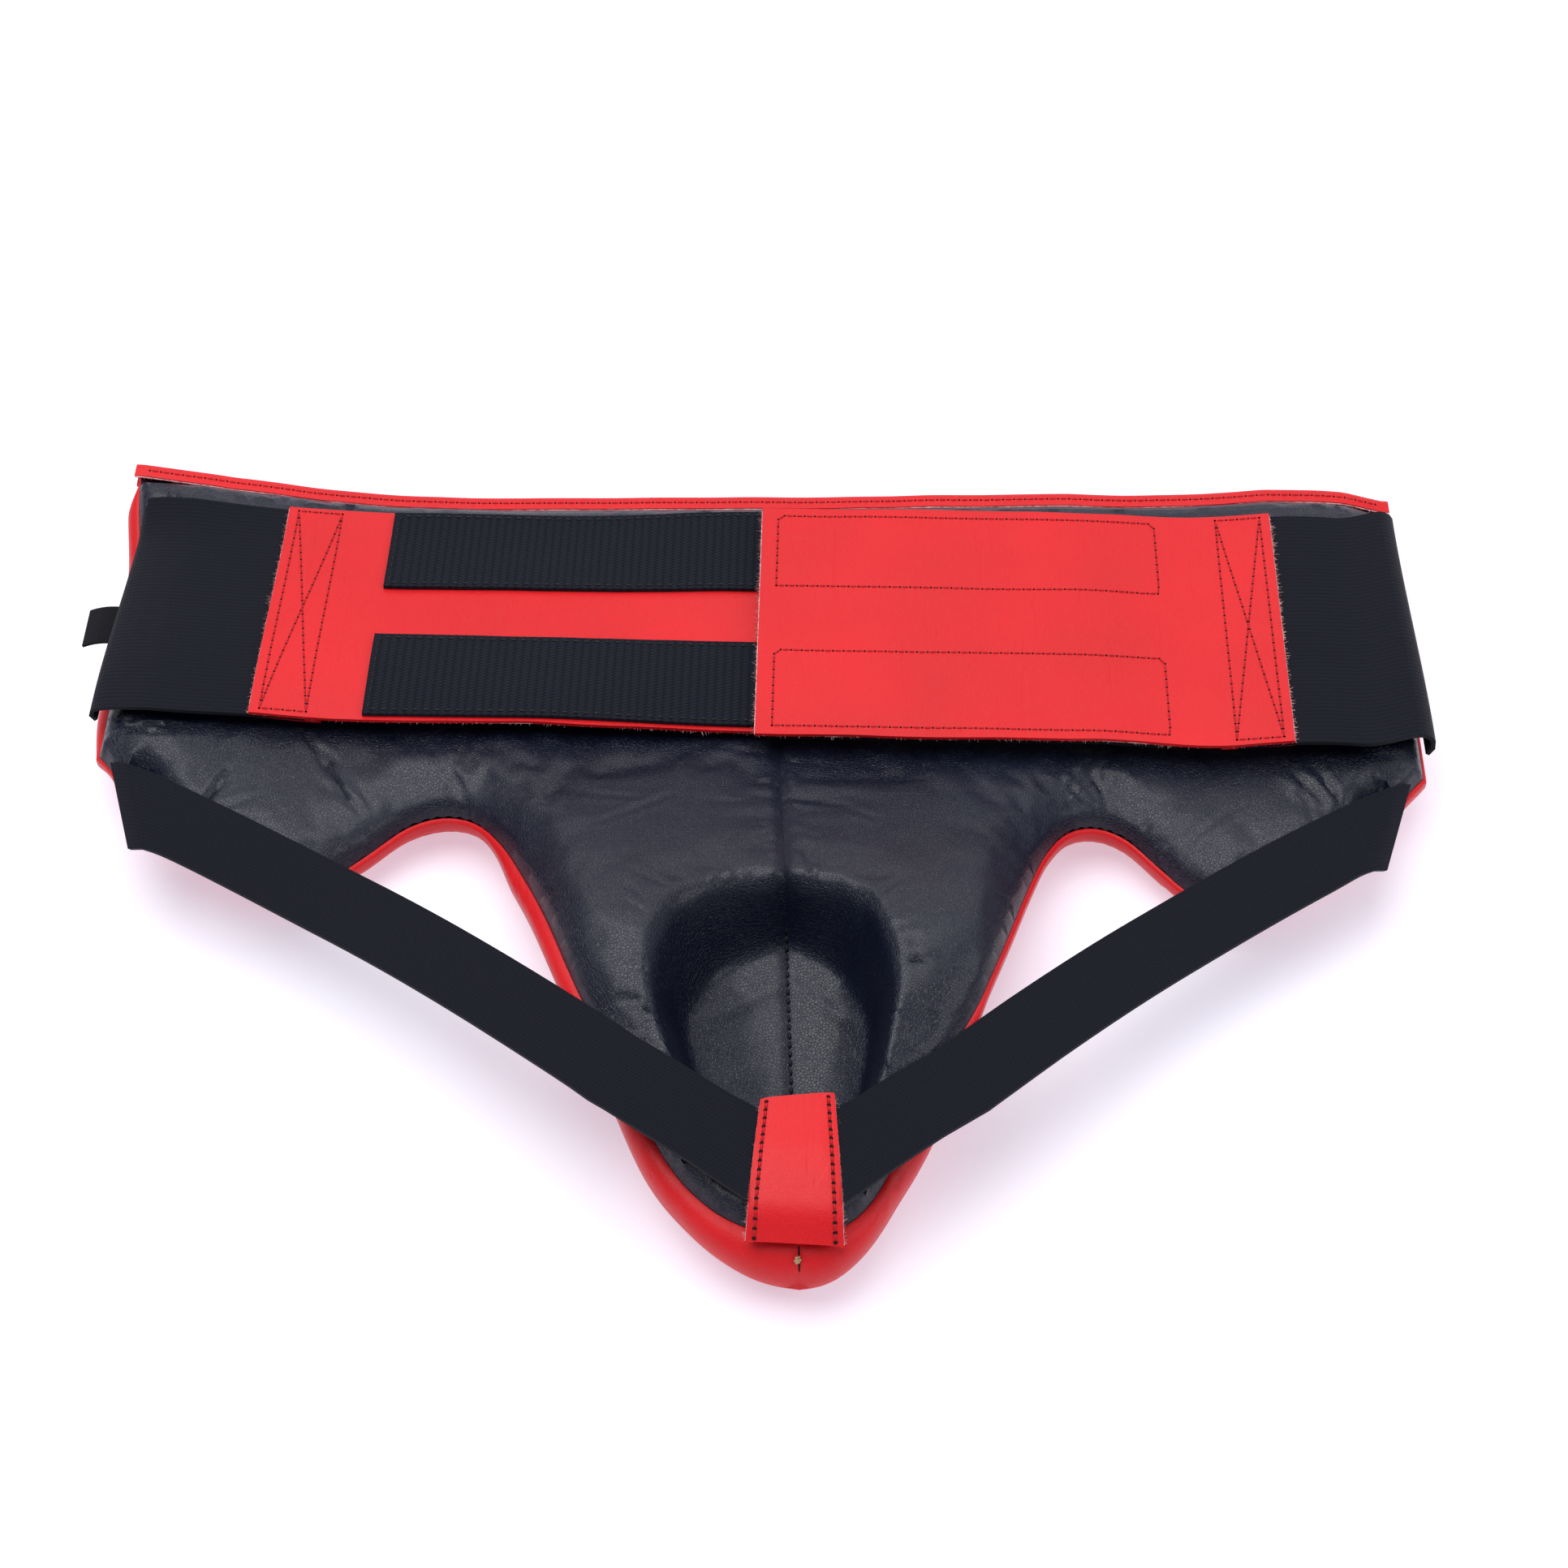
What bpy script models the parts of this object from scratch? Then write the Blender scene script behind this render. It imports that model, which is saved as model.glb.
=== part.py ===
"""Boxing groin protector, lying on its padded front with the lining up and the belt closed.

Metres, +Z up. +Y points to the waist edge, -Y to the crotch, +X to the wearer's side that carries
the overlapping closure tab. Every shape is drawn in the panel frame, whose X = 0 is halfway between
the two wing ends; the empty panel_frame then carries it to the part's own origin.
"""

import math

import bpy
import bmesh
import numpy as np
from mathutils import Vector
from mathutils.geometry import delaunay_2d_cdt

# Panel frame to part frame: the part's origin is the middle of its footprint.
PANEL_ORIGIN = (0.0077, 0.0102, 0.0)

# Padded panel, right half. The lower edge runs from the crotch round the leg opening to the wing end.
END_X = 0.2245
TOP_Y = 0.1535
PAD_TOP_Y = 0.1465
LOWER_EDGE = (
    (0.0000, -0.1670), (0.0140, -0.1650), (0.0265, -0.1555), (0.0380, -0.1400),
    (0.0482, -0.1165), (0.0568, -0.0940), (0.0650, -0.0725), (0.0735, -0.0515),
    (0.0815, -0.0330), (0.0900, -0.0145), (0.0990, -0.0025), (0.1095, 0.0015),
    (0.1205, -0.0020), (0.1320, -0.0130), (0.1430, -0.0230), (0.1560, -0.0275),
    (0.1720, -0.0235), (0.1900, -0.0135), (0.2070, 0.0020), (END_X, 0.0220),
)
# Mouth of the cup, right half, from its waist side to its crotch side.
CUP_MOUTH = (
    (0.0000, -0.0460), (0.0200, -0.0480), (0.0330, -0.0560), (0.0380, -0.0680),
    (0.0385, -0.0840), (0.0350, -0.1020), (0.0280, -0.1200), (0.0160, -0.1340),
    (0.0000, -0.1390),
)
EDGE_STEP = 0.012
MOUTH_STEP = 0.011
FINE_STEP = 0.002

# Heights over the surface the protector lies on.
WING_SEAM_Z = 0.014
TONGUE_RISE = 0.026
CROTCH_DROOP = 0.012
WING_CROWN = 0.010
TONGUE_CROWN = 0.013
CROTCH_CROWN_LOSS = 0.40
CROWN_REACH = 0.022
FRONT_CROWN = 0.014
BULGE_WING = 0.003
BULGE_CROTCH = 0.0085
ROLL = 1.1
DOME_DEPTH = 0.027
DOME_CENTRE_Y = -0.095
DOME_HALF = (0.060, 0.085)
CUP_WALL_DEPTH = 0.024
CUP_BOWL_DEPTH = 0.010
CUP_SHALLOWER = 0.30

# Where each height starts and stops changing: Y from waist to crotch, X outward, depth into the cup.
TONGUE_RISE_Y = (0.060, -0.090)
TONGUE_RISE_X = (0.060, 0.150)
CROTCH_DROOP_Y = (-0.050, -0.165)
TONGUE_CROWN_Y = (0.020, -0.070)
TONGUE_CROWN_X = (0.060, 0.120)
CROWN_LOSS_Y = (-0.055, -0.115)
BULGE_GROWTH_Y = (-0.080, -0.130)
BULGE_END_Y = (0.105, 0.130)
CUP_WALL_REACH = (-0.006, 0.010)
CUP_BOWL_REACH = 0.034
CUP_SHALLOWER_Y = (-0.105, -0.140)

# Layers, from the lining down to the front cover.
GAP = 0.0003
LINING = 0.0012
SOFT_FOAM = 0.008
SOFT_FOAM_IN_CUP = 0.003
SOFT_FOAM_THINS = (-0.012, 0.002)
THINNEST_FOAM = 0.0015
CUP_WALL = 0.0025
CUSHION = 0.012
COVER = 0.0014
FOAM_INSET = 0.005
WING_SPLIT_X = 0.118
FLANGE = 0.0045
CUSHION_REACH = 0.0095
SPLIT = 0.0004
STEEPEST = 2.6
STEEPEST_FOAM = 1.6
SLOPE_STEP = 0.0015

# How far the soft crotch end leans towards +X as it lies.
LEAN = 0.052
LEAN_REACH_X = 0.150
UNLEAN_STEPS = 8

# Belt: elastic bands, two-ply leather closure tabs, hook and loop strips.
BELT_Y = (0.0290, 0.1310)
PLY = 0.0012
BAND = 0.0015
STRIP = 0.0014
STRIP_Y = ((0.0925, 0.1300), (0.0300, 0.0675))
HINGE = (0.2262, 0.0178)
POCKET_DROP = 0.0018
LEFT_TAB_X = (-0.1725, 0.0500)
RIGHT_TAB_X = (-0.0015, 0.1785)
LOOP_X = (-0.1345, 0.0480)
HOOK_X = (0.0020, 0.1400)
LEFT_PLY_Z = (0.0306, 0.0321)
LOOP_Z = 0.0337
HOOK_Z = 0.0354
RIGHT_PLY_Z = (0.0370, 0.0385)
POCKET_X = 0.0235
POCKET_END_X = 0.0329
BAND_GRIP = 0.0185
LEFT_BAND_PATH = (
    (0.2278, 0.0212), (0.2270, 0.0248), (0.2225, 0.0279), (0.2130, 0.0296), (0.2010, 0.0303),
)
RIGHT_BAND_PATH = (
    (0.2278, 0.0212), (0.2274, 0.0254), (0.2235, 0.0292), (0.2140, 0.0328), (0.1990, 0.0356),
)

# Leg straps and the leather tab that gathers them.
STRAP_WIDTH = 0.0265
STRAP = 0.0015
STRAP_CLEAR = 0.0012
STRAP_START = (0.2125, 0.0028)
STRAP_START_HALF = (0.0060, 0.0165)
STRAP_START_SHARE = 0.20
STRAP_STATIONS = 21
TAB_SIDE_GAP = 0.0005
TAB_Y = (-0.1685, -0.1285)
TAB_STATIONS = 8
CROTCH_TAB_HALF = (0.0145, 0.0110)
TAB_PLY_STEP = 0.0034
TAB_CLEAR = 0.0014
BRIDGE_STATIONS = (2, 3, 4, 5, 6)
STRAP_END_Y = -0.1450

# Folded binding on the waist edge.
BINDING_LAP = 0.0060
BINDING_OVERHANG = 0.002

# Woven label in the left side seam.
LABEL_X = (-0.2440, -0.2252)
LABEL_Y = (0.0810, 0.0980)
LABEL_Z = 0.0151
LABEL = 0.0010

# Free points of the panel's mesh: spacing of each zone, and how clear they stay as shares of it.
WING_GRID = 0.020
BELLY_GRID = 0.017
TONGUE_GRID = 0.0105
TONGUE_START_Y = -0.005
GRID_BOX = (-0.230, -0.180, 0.230, 0.150)
BELLY_BOX = (-0.118, -0.180, 0.118, 0.150)
TONGUE_BOX = (-0.084, -0.180, 0.084, 0.000)
ROW_SHARE = 0.866
EDGE_CLEAR = 0.3
POINT_CLEAR = 0.55

RED_LEATHER = ("red_leather", (0.72, 0.03, 0.04), 0.35, 0.0)
BLACK_LEATHER = ("black_leather", (0.015, 0.016, 0.022), 0.3, 0.0)
BLACK_ELASTIC = ("black_elastic", (0.012, 0.012, 0.015), 0.85, 0.0)
BLACK_LOOP = ("black_loop", (0.010, 0.011, 0.015), 0.95, 0.0)
WOVEN_LABEL = ("woven_label", (0.02, 0.02, 0.025), 0.8, 0.0)
SOFT_PAD = ("soft_foam", (0.82, 0.80, 0.72), 0.9, 0.0)
DENSE_PAD = ("dense_foam", (0.16, 0.16, 0.17), 0.9, 0.0)
CUP_PLASTIC = ("cup_plastic", (0.75, 0.76, 0.78), 0.4, 0.0)


def clear_scene():
    for obj in list(bpy.data.objects):
        bpy.data.objects.remove(obj)


def smooth(t):
    t = np.clip(t, 0.0, 1.0)
    return t * t * (3.0 - 2.0 * t)


def ramp(value, start_end):
    """0 at the pair's first number, 1 at its second, smooth in between."""
    start, end = start_end
    return smooth((value - start) / (end - start))


def curve_through(points, step):
    """Points about step apart along a Catmull-Rom curve through the given ones."""
    p = np.array(points)
    p = np.vstack([2 * p[0] - p[1], p, 2 * p[-1] - p[-2]])
    made = [p[1]]
    for a, b, c, d in zip(p, p[1:], p[2:], p[3:]):
        count = max(1, round(float(np.linalg.norm(c - b)) / step))
        for k in range(1, count + 1):
            t = k / count
            bend = 2 * a - 5 * b + 4 * c - d
            twist = 3 * b - a - 3 * c + d
            made.append(0.5 * (2 * b + (c - a) * t + bend * t**2 + twist * t**3))
    return np.array(made)


def mirrored(half):
    """Closed outline from its right half, whose two ends lie on X = 0."""
    return np.vstack([half, (half * (-1, 1))[-2:0:-1]])


def straight(a, b, step):
    """Points from a to b, without b."""
    a, b = np.array(a, float), np.array(b, float)
    count = max(1, round(float(np.linalg.norm(b - a)) / step))
    return np.array([a + (b - a) * k / count for k in range(count)])


def panel_half(top_y, outward=None):
    """Right half of the panel's outline, crotch to waist, moved outward by a function of x and y."""
    low = curve_through(LOWER_EDGE, EDGE_STEP)
    side = straight((END_X, LOWER_EDGE[-1][1]), (END_X, top_y), EDGE_STEP)[1:]
    top = np.vstack([straight((END_X, top_y), (0, top_y), WING_GRID), [(0, top_y)]])
    half = np.vstack([low, side, top])
    if outward is None:
        return half
    run = np.gradient(half, axis=0)
    normal = np.stack([run[:, 1], -run[:, 0]], 1)
    normal /= np.linalg.norm(normal, axis=1)[:, None]
    normal[0] = (0, -1)
    normal[-1] = (0, 1)
    return half + normal * outward(half[:, 0], half[:, 1])[:, None]


def inside_depth(x, y, outline):
    """Distance to the closed outline, positive inside it."""
    p = np.stack([np.ravel(x), np.ravel(y)], 1)
    a, b = outline, np.roll(outline, -1, axis=0)
    d = b - a
    nearest = np.full(len(p), np.inf)
    crossings = np.zeros(len(p), int)
    for (ax, ay), (bx, by), (dx, dy) in zip(a, b, d):
        t = np.clip(((p[:, 0] - ax) * dx + (p[:, 1] - ay) * dy) / (dx * dx + dy * dy + 1e-18), 0, 1)
        nearest = np.minimum(nearest, np.hypot(p[:, 0] - ax - t * dx, p[:, 1] - ay - t * dy))
        spans = (ay > p[:, 1]) != (by > p[:, 1])
        crossings += spans & (p[:, 0] < ax + (p[:, 1] - ay) * dx / (dy if dy else 1e-18))
    return np.where(crossings % 2 == 1, nearest, -nearest).reshape(np.shape(x))


def cover_bulge(x, y):
    """How far the front cover's rolled edge stands outside the seam."""
    grown = BULGE_WING + (BULGE_CROTCH - BULGE_WING) * ramp(y, BULGE_GROWTH_Y)
    return grown * (1 - ramp(y, BULGE_END_Y))


PAD_OUTLINE = mirrored(panel_half(PAD_TOP_Y))
SKIN_HALF = panel_half(TOP_Y)
COVER_HALF = panel_half(TOP_Y, cover_bulge)
FOAM_OUTLINE = mirrored(panel_half(PAD_TOP_Y, lambda x, y: np.full(len(x), -FOAM_INSET)))
MOUTH_OUTLINE = mirrored(curve_through(CUP_MOUTH, MOUTH_STEP))


def seam_height(x, y):
    """Height of the seam between lining and cover, carried on across the panel."""
    rise = ramp(y, TONGUE_RISE_Y) * (1 - ramp(np.abs(x), TONGUE_RISE_X))
    return WING_SEAM_Z + TONGUE_RISE * rise - CROTCH_DROOP * ramp(y, CROTCH_DROOP_Y)


def dome_share(x, y):
    """1 at the middle of the front's dome, 0 at its elliptical edge and beyond."""
    off_centre = (x / DOME_HALF[0]) ** 2 + ((y - DOME_CENTRE_Y) / DOME_HALF[1]) ** 2
    return np.sqrt(np.clip(1 - off_centre, 0, 1))


def quarter_round(t):
    """Height of a quarter circle's edge at t across it."""
    return np.sqrt(1 - (1 - np.clip(t, 0, 1)) ** 2)


def lining_top(x, y):
    """Upper face of the lining: a crowned pad with the cup's hollow let into it."""
    depth = inside_depth(x, y, PAD_OUTLINE)
    tongue = ramp(y, TONGUE_CROWN_Y) * (1 - ramp(np.abs(x), TONGUE_CROWN_X))
    crown = WING_CROWN + (TONGUE_CROWN - WING_CROWN) * tongue
    crown = crown * (1 - CROTCH_CROWN_LOSS * ramp(y, CROWN_LOSS_Y))
    mouth = inside_depth(x, y, MOUTH_OUTLINE)
    wall = CUP_WALL_DEPTH * ramp(mouth, CUP_WALL_REACH)
    bowl = CUP_BOWL_DEPTH * (1 - (1 - np.clip(mouth / CUP_BOWL_REACH, 0, 1)) ** 2)
    shallow = 1 - CUP_SHALLOWER * ramp(y, CUP_SHALLOWER_Y)
    seam = seam_height(x, y) + LINING + GAP
    return seam + crown * quarter_round(depth / CROWN_REACH) - (wall + bowl) * shallow


def cover_bottom(x, y):
    """Outer face of the front cover: it rolls in from the seam and domes over the cup."""
    bulge = cover_bulge(x, y)
    seam = seam_height(x, y)
    front = np.maximum(0.0, seam - FRONT_CROWN - DOME_DEPTH * dome_share(x, y))
    edge = seam - COVER - ROLL * bulge
    depth = inside_depth(x, y, PAD_OUTLINE) + bulge
    return edge - (edge - front) * quarter_round(depth / CROWN_REACH)


def cover_top(x, y):
    """Inner face of the cover. Outside the seam it rolls down to the rim."""
    bulge = cover_bulge(x, y)
    outside = np.clip(-inside_depth(x, y, PAD_OUTLINE) / np.maximum(bulge, GAP), 0, 1)
    limit = seam_height(x, y) - ROLL * bulge * (1 - np.sqrt(1 - outside**2))
    return np.minimum(cover_bottom(x, y) + COVER * steepness(cover_bottom, x, y), limit)


def steepness(surface, x, y):
    """Vertical thickness of a layer over its true thickness, where the surface slopes."""
    step = SLOPE_STEP
    slope_x = (surface(x + step, y) - surface(x - step, y)) / (2 * step)
    slope_y = (surface(x, y + step) - surface(x, y - step)) / (2 * step)
    return np.minimum(np.sqrt(1 + slope_x**2 + slope_y**2), STEEPEST)


def grid_points(box, spacing):
    """Triangular grid of points in box, given as low x, low y, high x, high y."""
    x0, y0, x1, y1 = box
    rows = int((y1 - y0) / (spacing * ROW_SHARE)) + 1
    points = []
    for row in range(rows):
        shift = spacing * (0.5 if row % 2 else 0.0)
        for col in range(int((x1 - x0) / spacing) + 1):
            points.append((x0 + shift + col * spacing, y0 + row * spacing * ROW_SHARE))
    return np.array(points)


def chain(points, closed=True):
    """A constraint line of the panel's mesh: its points and whether it closes."""
    return np.array(points, float), closed


def vertical_line(x, y_low, y_high, step):
    return np.vstack([straight((x, y_low), (x, y_high), step), [(x, y_high)]])


def offset_mouth(distance):
    """The cup mouth's outline, moved outward."""
    run = np.roll(MOUTH_OUTLINE, -1, axis=0) - np.roll(MOUTH_OUTLINE, 1, axis=0)
    normal = np.stack([-run[:, 1], run[:, 0]], 1)
    normal /= np.linalg.norm(normal, axis=1)[:, None]
    return MOUTH_OUTLINE + normal * distance


def lower_y(x):
    """Y of the panel's lower edge at x."""
    low = curve_through(LOWER_EDGE, FINE_STEP)
    return float(np.interp(abs(x), low[:, 0], low[:, 1]))


def panel_mesh():
    """One triangulation of the panel's plan. Every layer takes its own part of it, so none cross."""
    lines = [chain(FOAM_OUTLINE)]
    lines += [chain(mirrored(half)) for half in (COVER_HALF, SKIN_HALF)]
    for x in (-WING_SPLIT_X, WING_SPLIT_X - SPLIT):
        for edge in (x, x + SPLIT):
            low, high = lower_y(edge) + FOAM_INSET, PAD_TOP_Y - FOAM_INSET
            lines.append(chain(vertical_line(edge, low, high, BELLY_GRID), False))
    for edge in (-SPLIT / 2, SPLIT / 2):
        seam = vertical_line(edge, LOWER_EDGE[0][1] - BULGE_CROTCH, TOP_Y, TONGUE_GRID)
        lines.append(chain(seam, False))
    margin = vertical_line(0, -END_X, END_X, WING_GRID)[:, ::-1] + (0, PAD_TOP_Y)
    lines.append(chain(margin, False))
    rings = (0, FLANGE, FLANGE + SPLIT, CUSHION_REACH, CUSHION_REACH + SPLIT)
    lines += [chain(offset_mouth(distance)) for distance in rings]
    points, edges = [], []
    for line, closed in lines:
        start = len(points)
        points += [tuple(p) for p in line]
        count = len(line)
        links = count if closed else count - 1
        edges += [(start + k, start + (k + 1) % count) for k in range(links)]
    points += list(map(tuple, free_points(np.array(points))))
    verts, _, faces, _, _, _ = delaunay_2d_cdt([Vector(p) for p in points], edges, [], 0, 1e-6)
    return np.array([tuple(v) for v in verts]), np.array([tuple(f) for f in faces])


def free_points(taken):
    """Grid points inside the panel, finer in the tongue, clear of the constraint lines."""
    zones = (
        (GRID_BOX, WING_GRID, lambda x, y: np.abs(x) > WING_SPLIT_X),
        (BELLY_BOX, BELLY_GRID, lambda x, y: (np.abs(x) <= WING_SPLIT_X) & (y > TONGUE_START_Y)),
        (TONGUE_BOX, TONGUE_GRID, lambda x, y: y <= TONGUE_START_Y),
    )
    kept = []
    for box, spacing, wanted in zones:
        points = grid_points(box, spacing)
        x, y = points.T
        deep = inside_depth(x, y, PAD_OUTLINE) > EDGE_CLEAR * spacing
        for point in points[wanted(x, y) & deep]:
            if np.hypot(*(taken - point).T).min() > POINT_CLEAR * spacing:
                kept.append(point)
    return kept


def panel_place(empty):
    """Where an empty is in the panel frame."""
    place = Vector()
    while empty.parent is not None:
        place += empty.location
        empty = empty.parent
    return place


def joint_empty(name, at, parent):
    """An empty on a joint's axis, at a point of the panel frame."""
    empty = bpy.data.objects.new(name, None)
    bpy.context.scene.collection.objects.link(empty)
    empty.parent = parent
    empty.location = Vector(at) - panel_place(parent)
    return empty


def add_object(name, mesh, look, parent):
    """A node whose mesh is drawn in the panel frame, whichever empty carries it."""
    obj = bpy.data.objects.new(name, mesh)
    bpy.context.scene.collection.objects.link(obj)
    obj.parent = parent
    obj.location = -panel_place(parent)
    obj.data.materials.append(material(*look))
    return obj


def material(name, colour, roughness, metallic):
    made = bpy.data.materials.get(name)
    if made is None:
        made = bpy.data.materials.new(name)
        made.use_nodes = True
        shader = made.node_tree.nodes["Principled BSDF"]
        shader.inputs["Base Color"].default_value = (*colour, 1.0)
        shader.inputs["Roughness"].default_value = roughness
        shader.inputs["Metallic"].default_value = metallic
    return made


def leaned(x, y):
    """X of a panel point once the soft crotch end has leaned over."""
    return x + LEAN * (TOP_Y - y) * np.maximum(0.0, 1 - (x / LEAN_REACH_X) ** 2)


def unleaned(x, y):
    """The panel X that leaned carries to x."""
    found = x
    for _ in range(UNLEAN_STEPS):
        found = x - (leaned(found, y) - found)
    return found


def layer(name, panel, keep, top, bottom, look, parent):
    """A closed sheet over the panel triangles that keep says, between two heights per point."""
    plan, faces = panel
    faces = faces[keep]
    used, faces = np.unique(faces, return_inverse=True)
    faces = faces.reshape(-1, 3)
    plan, top, bottom = plan[used], top[used], bottom[used]
    x = leaned(plan[:, 0], plan[:, 1])
    count = len(used)
    verts = np.vstack([np.stack([x, plan[:, 1], height], 1) for height in (top, bottom)])
    a, b, c = (plan[faces[:, k]] for k in range(3))
    turned = np.cross(b - a, c - a) < 0
    faces[turned] = faces[turned][:, ::-1]
    ends = np.concatenate([faces[:, [0, 1]], faces[:, [1, 2]], faces[:, [2, 0]]])
    directed = {tuple(e) for e in ends}
    rim = [(a, b) for a, b in directed if (b, a) not in directed]
    polygons = [tuple(f) for f in faces] + [tuple(f[::-1] + count) for f in faces]
    polygons += [(b, a, a + count, b + count) for a, b in rim]
    mesh = bpy.data.meshes.new(name)
    mesh.from_pydata([tuple(v) for v in verts], [], [tuple(int(i) for i in f) for f in polygons])
    mesh.validate()
    mesh.shade_smooth()
    mesh.set_sharp_from_angle(angle=math.radians(50))
    return add_object(name, mesh, look, parent)


def padded_panel(parent):
    """Lining, foam, cup and cover, each from the same plan."""
    panel = panel_mesh()
    plan, faces = panel
    x, y = plan.T
    centre = plan[faces].mean(axis=1)
    cx, cy = centre.T

    lining = lining_top(x, y)
    sloped = steepness(lining_top, x, y)
    mouth = inside_depth(x, y, MOUTH_OUTLINE)
    soft = SOFT_FOAM + (SOFT_FOAM_IN_CUP - SOFT_FOAM) * ramp(mouth, SOFT_FOAM_THINS)
    seam = seam_height(x, y)
    lining_bottom = np.maximum(lining - LINING * sloped, seam + GAP)
    soft_top = lining_bottom - GAP
    cover = cover_bottom(x, y)
    cover_inner = cover_top(x, y)
    over_cover = cover_inner + GAP
    lowest_soft = over_cover + THINNEST_FOAM + GAP
    soft_bottom = np.maximum(soft_top - soft * np.minimum(sloped, STEEPEST_FOAM), lowest_soft)
    under_soft = soft_bottom - GAP
    cup_bottom = under_soft - CUP_WALL * sloped
    cushion_bottom = under_soft - CUSHION
    front_pad_top = np.where(mouth > -FLANGE - SPLIT / 2, cup_bottom, cushion_bottom) - GAP

    def within(outline):
        return inside_depth(cx, cy, outline) > 0

    in_skin, in_cover, in_foam = map(within, (mirrored(SKIN_HALF), mirrored(COVER_HALF), FOAM_OUTLINE))
    in_flange = within(offset_mouth(FLANGE))
    past_flange = ~within(offset_mouth(FLANGE + SPLIT))
    in_cushion = within(offset_mouth(CUSHION_REACH))
    past_cushion = ~within(offset_mouth(CUSHION_REACH + SPLIT))
    middle = np.abs(cx) < WING_SPLIT_X - SPLIT
    middle_foam = in_foam & middle

    for side, sign in (("left", -1), ("right", 1)):
        half = sign * cx > SPLIT / 2
        wing = in_foam & (sign * cx > WING_SPLIT_X)
        layer(f"lining_{side}", panel, in_skin & half, lining, lining_bottom, BLACK_LEATHER, parent)
        layer(f"outer_cover_{side}", panel, in_cover & half, cover_inner, cover, RED_LEATHER, parent)
        layer(f"soft_foam_wing_{side}", panel, wing, soft_top, soft_bottom, SOFT_PAD, parent)
        layer(f"dense_foam_wing_{side}", panel, wing, under_soft, over_cover, DENSE_PAD, parent)
    layer("soft_foam_centre", panel, middle_foam, soft_top, soft_bottom, SOFT_PAD, parent)
    round_cup = middle_foam & past_cushion
    layer("dense_foam_centre", panel, round_cup, under_soft, over_cover, DENSE_PAD, parent)
    layer("cup_shell", panel, in_flange, under_soft, cup_bottom, CUP_PLASTIC, parent)
    rim = in_cushion & past_flange
    layer("cup_rim_cushion", panel, rim, under_soft, cushion_bottom, DENSE_PAD, parent)
    layer("cup_front_pad", panel, in_cushion, front_pad_top, over_cover, SOFT_PAD, parent)


def ribbon(name, sections, thickness, look, parent):
    """A strip of even thickness through cross-lines, each given by its two end points."""
    mesh = bpy.data.meshes.new(name)
    points = [tuple(p) for section in sections for p in section]
    quads = [(2 * k, 2 * k + 1, 2 * k + 3, 2 * k + 2) for k in range(len(sections) - 1)]
    mesh.from_pydata(points, [], quads)
    obj = add_object(name, mesh, look, parent)
    solid = obj.modifiers.new("thickness", "SOLIDIFY")
    solid.thickness = thickness
    solid.offset = 0.0
    solid.use_even_offset = True
    return obj


def belt_strip(name, path, y_range, thickness, look, parent):
    """A ribbon that runs along X through the (x, z) points of path."""
    sections = [((x, y_range[0], z), (x, y_range[1], z)) for x, z in path]
    return ribbon(name, sections, thickness, look, parent)


def belt_half(side, sign, band_path, ply_z, tab_x, parent):
    """An elastic band from the wing end and the two-ply tab sewn round its end. Returns the tab's empty."""
    hinge = (sign * HINGE[0], sum(BELT_Y) / 2, HINGE[1])
    band_root = joint_empty(f"belt_{side}_open", hinge, parent)
    tab_root = joint_empty(f"belt_{side}_stretch", hinge, band_root)
    outer = max(abs(x) for x in tab_x)
    inner = min(sign * x for x in tab_x)
    band_z = (ply_z[0] + ply_z[1] - POCKET_DROP) / 2
    band = [HINGE, *band_path, (outer, band_z), (outer - BAND_GRIP, band_z)]
    pocket = [(x, ply_z[0] - POCKET_DROP) for x in (outer, outer - POCKET_X)]
    back = [*pocket, (outer - POCKET_END_X, ply_z[0]), (inner, ply_z[0])]
    front = [(outer, ply_z[1]), (inner, ply_z[1])]
    strips = (
        (f"elastic_band_{side}", band, BAND, BLACK_ELASTIC, band_root),
        (f"closure_tab_{side}_back", back, PLY, RED_LEATHER, tab_root),
        (f"closure_tab_{side}_front", front, PLY, RED_LEATHER, tab_root),
    )
    for name, path, thickness, look, empty in strips:
        belt_strip(name, [(sign * x, z) for x, z in path], BELT_Y, thickness, look, empty)
    return tab_root


def closure(parent):
    """Both belt halves, with two loop strips on the left tab and two hook strips under the right."""
    left_tab = belt_half("left", -1, LEFT_BAND_PATH, LEFT_PLY_Z, LEFT_TAB_X, parent)
    right_tab = belt_half("right", 1, RIGHT_BAND_PATH, RIGHT_PLY_Z, RIGHT_TAB_X, parent)
    for level, y_range in zip(("upper", "lower"), STRIP_Y):
        loop = [(x, LOOP_Z) for x in LOOP_X]
        hook = [(x, HOOK_Z) for x in HOOK_X]
        belt_strip(f"loop_strip_{level}", loop, y_range, STRIP, BLACK_LOOP, left_tab)
        belt_strip(f"hook_strip_{level}", hook, y_range, STRIP, BLACK_LOOP, right_tab)


def taut(heights):
    """The lowest line over the given heights that never dips, as a tight strap lies."""
    count = len(heights)
    lifted = list(heights)
    for k in range(count):
        for a in range(k):
            for b in range(k + 1, count):
                straight_z = heights[a] + (heights[b] - heights[a]) * (k - a) / (b - a)
                lifted[k] = max(lifted[k], straight_z)
    return lifted


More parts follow.
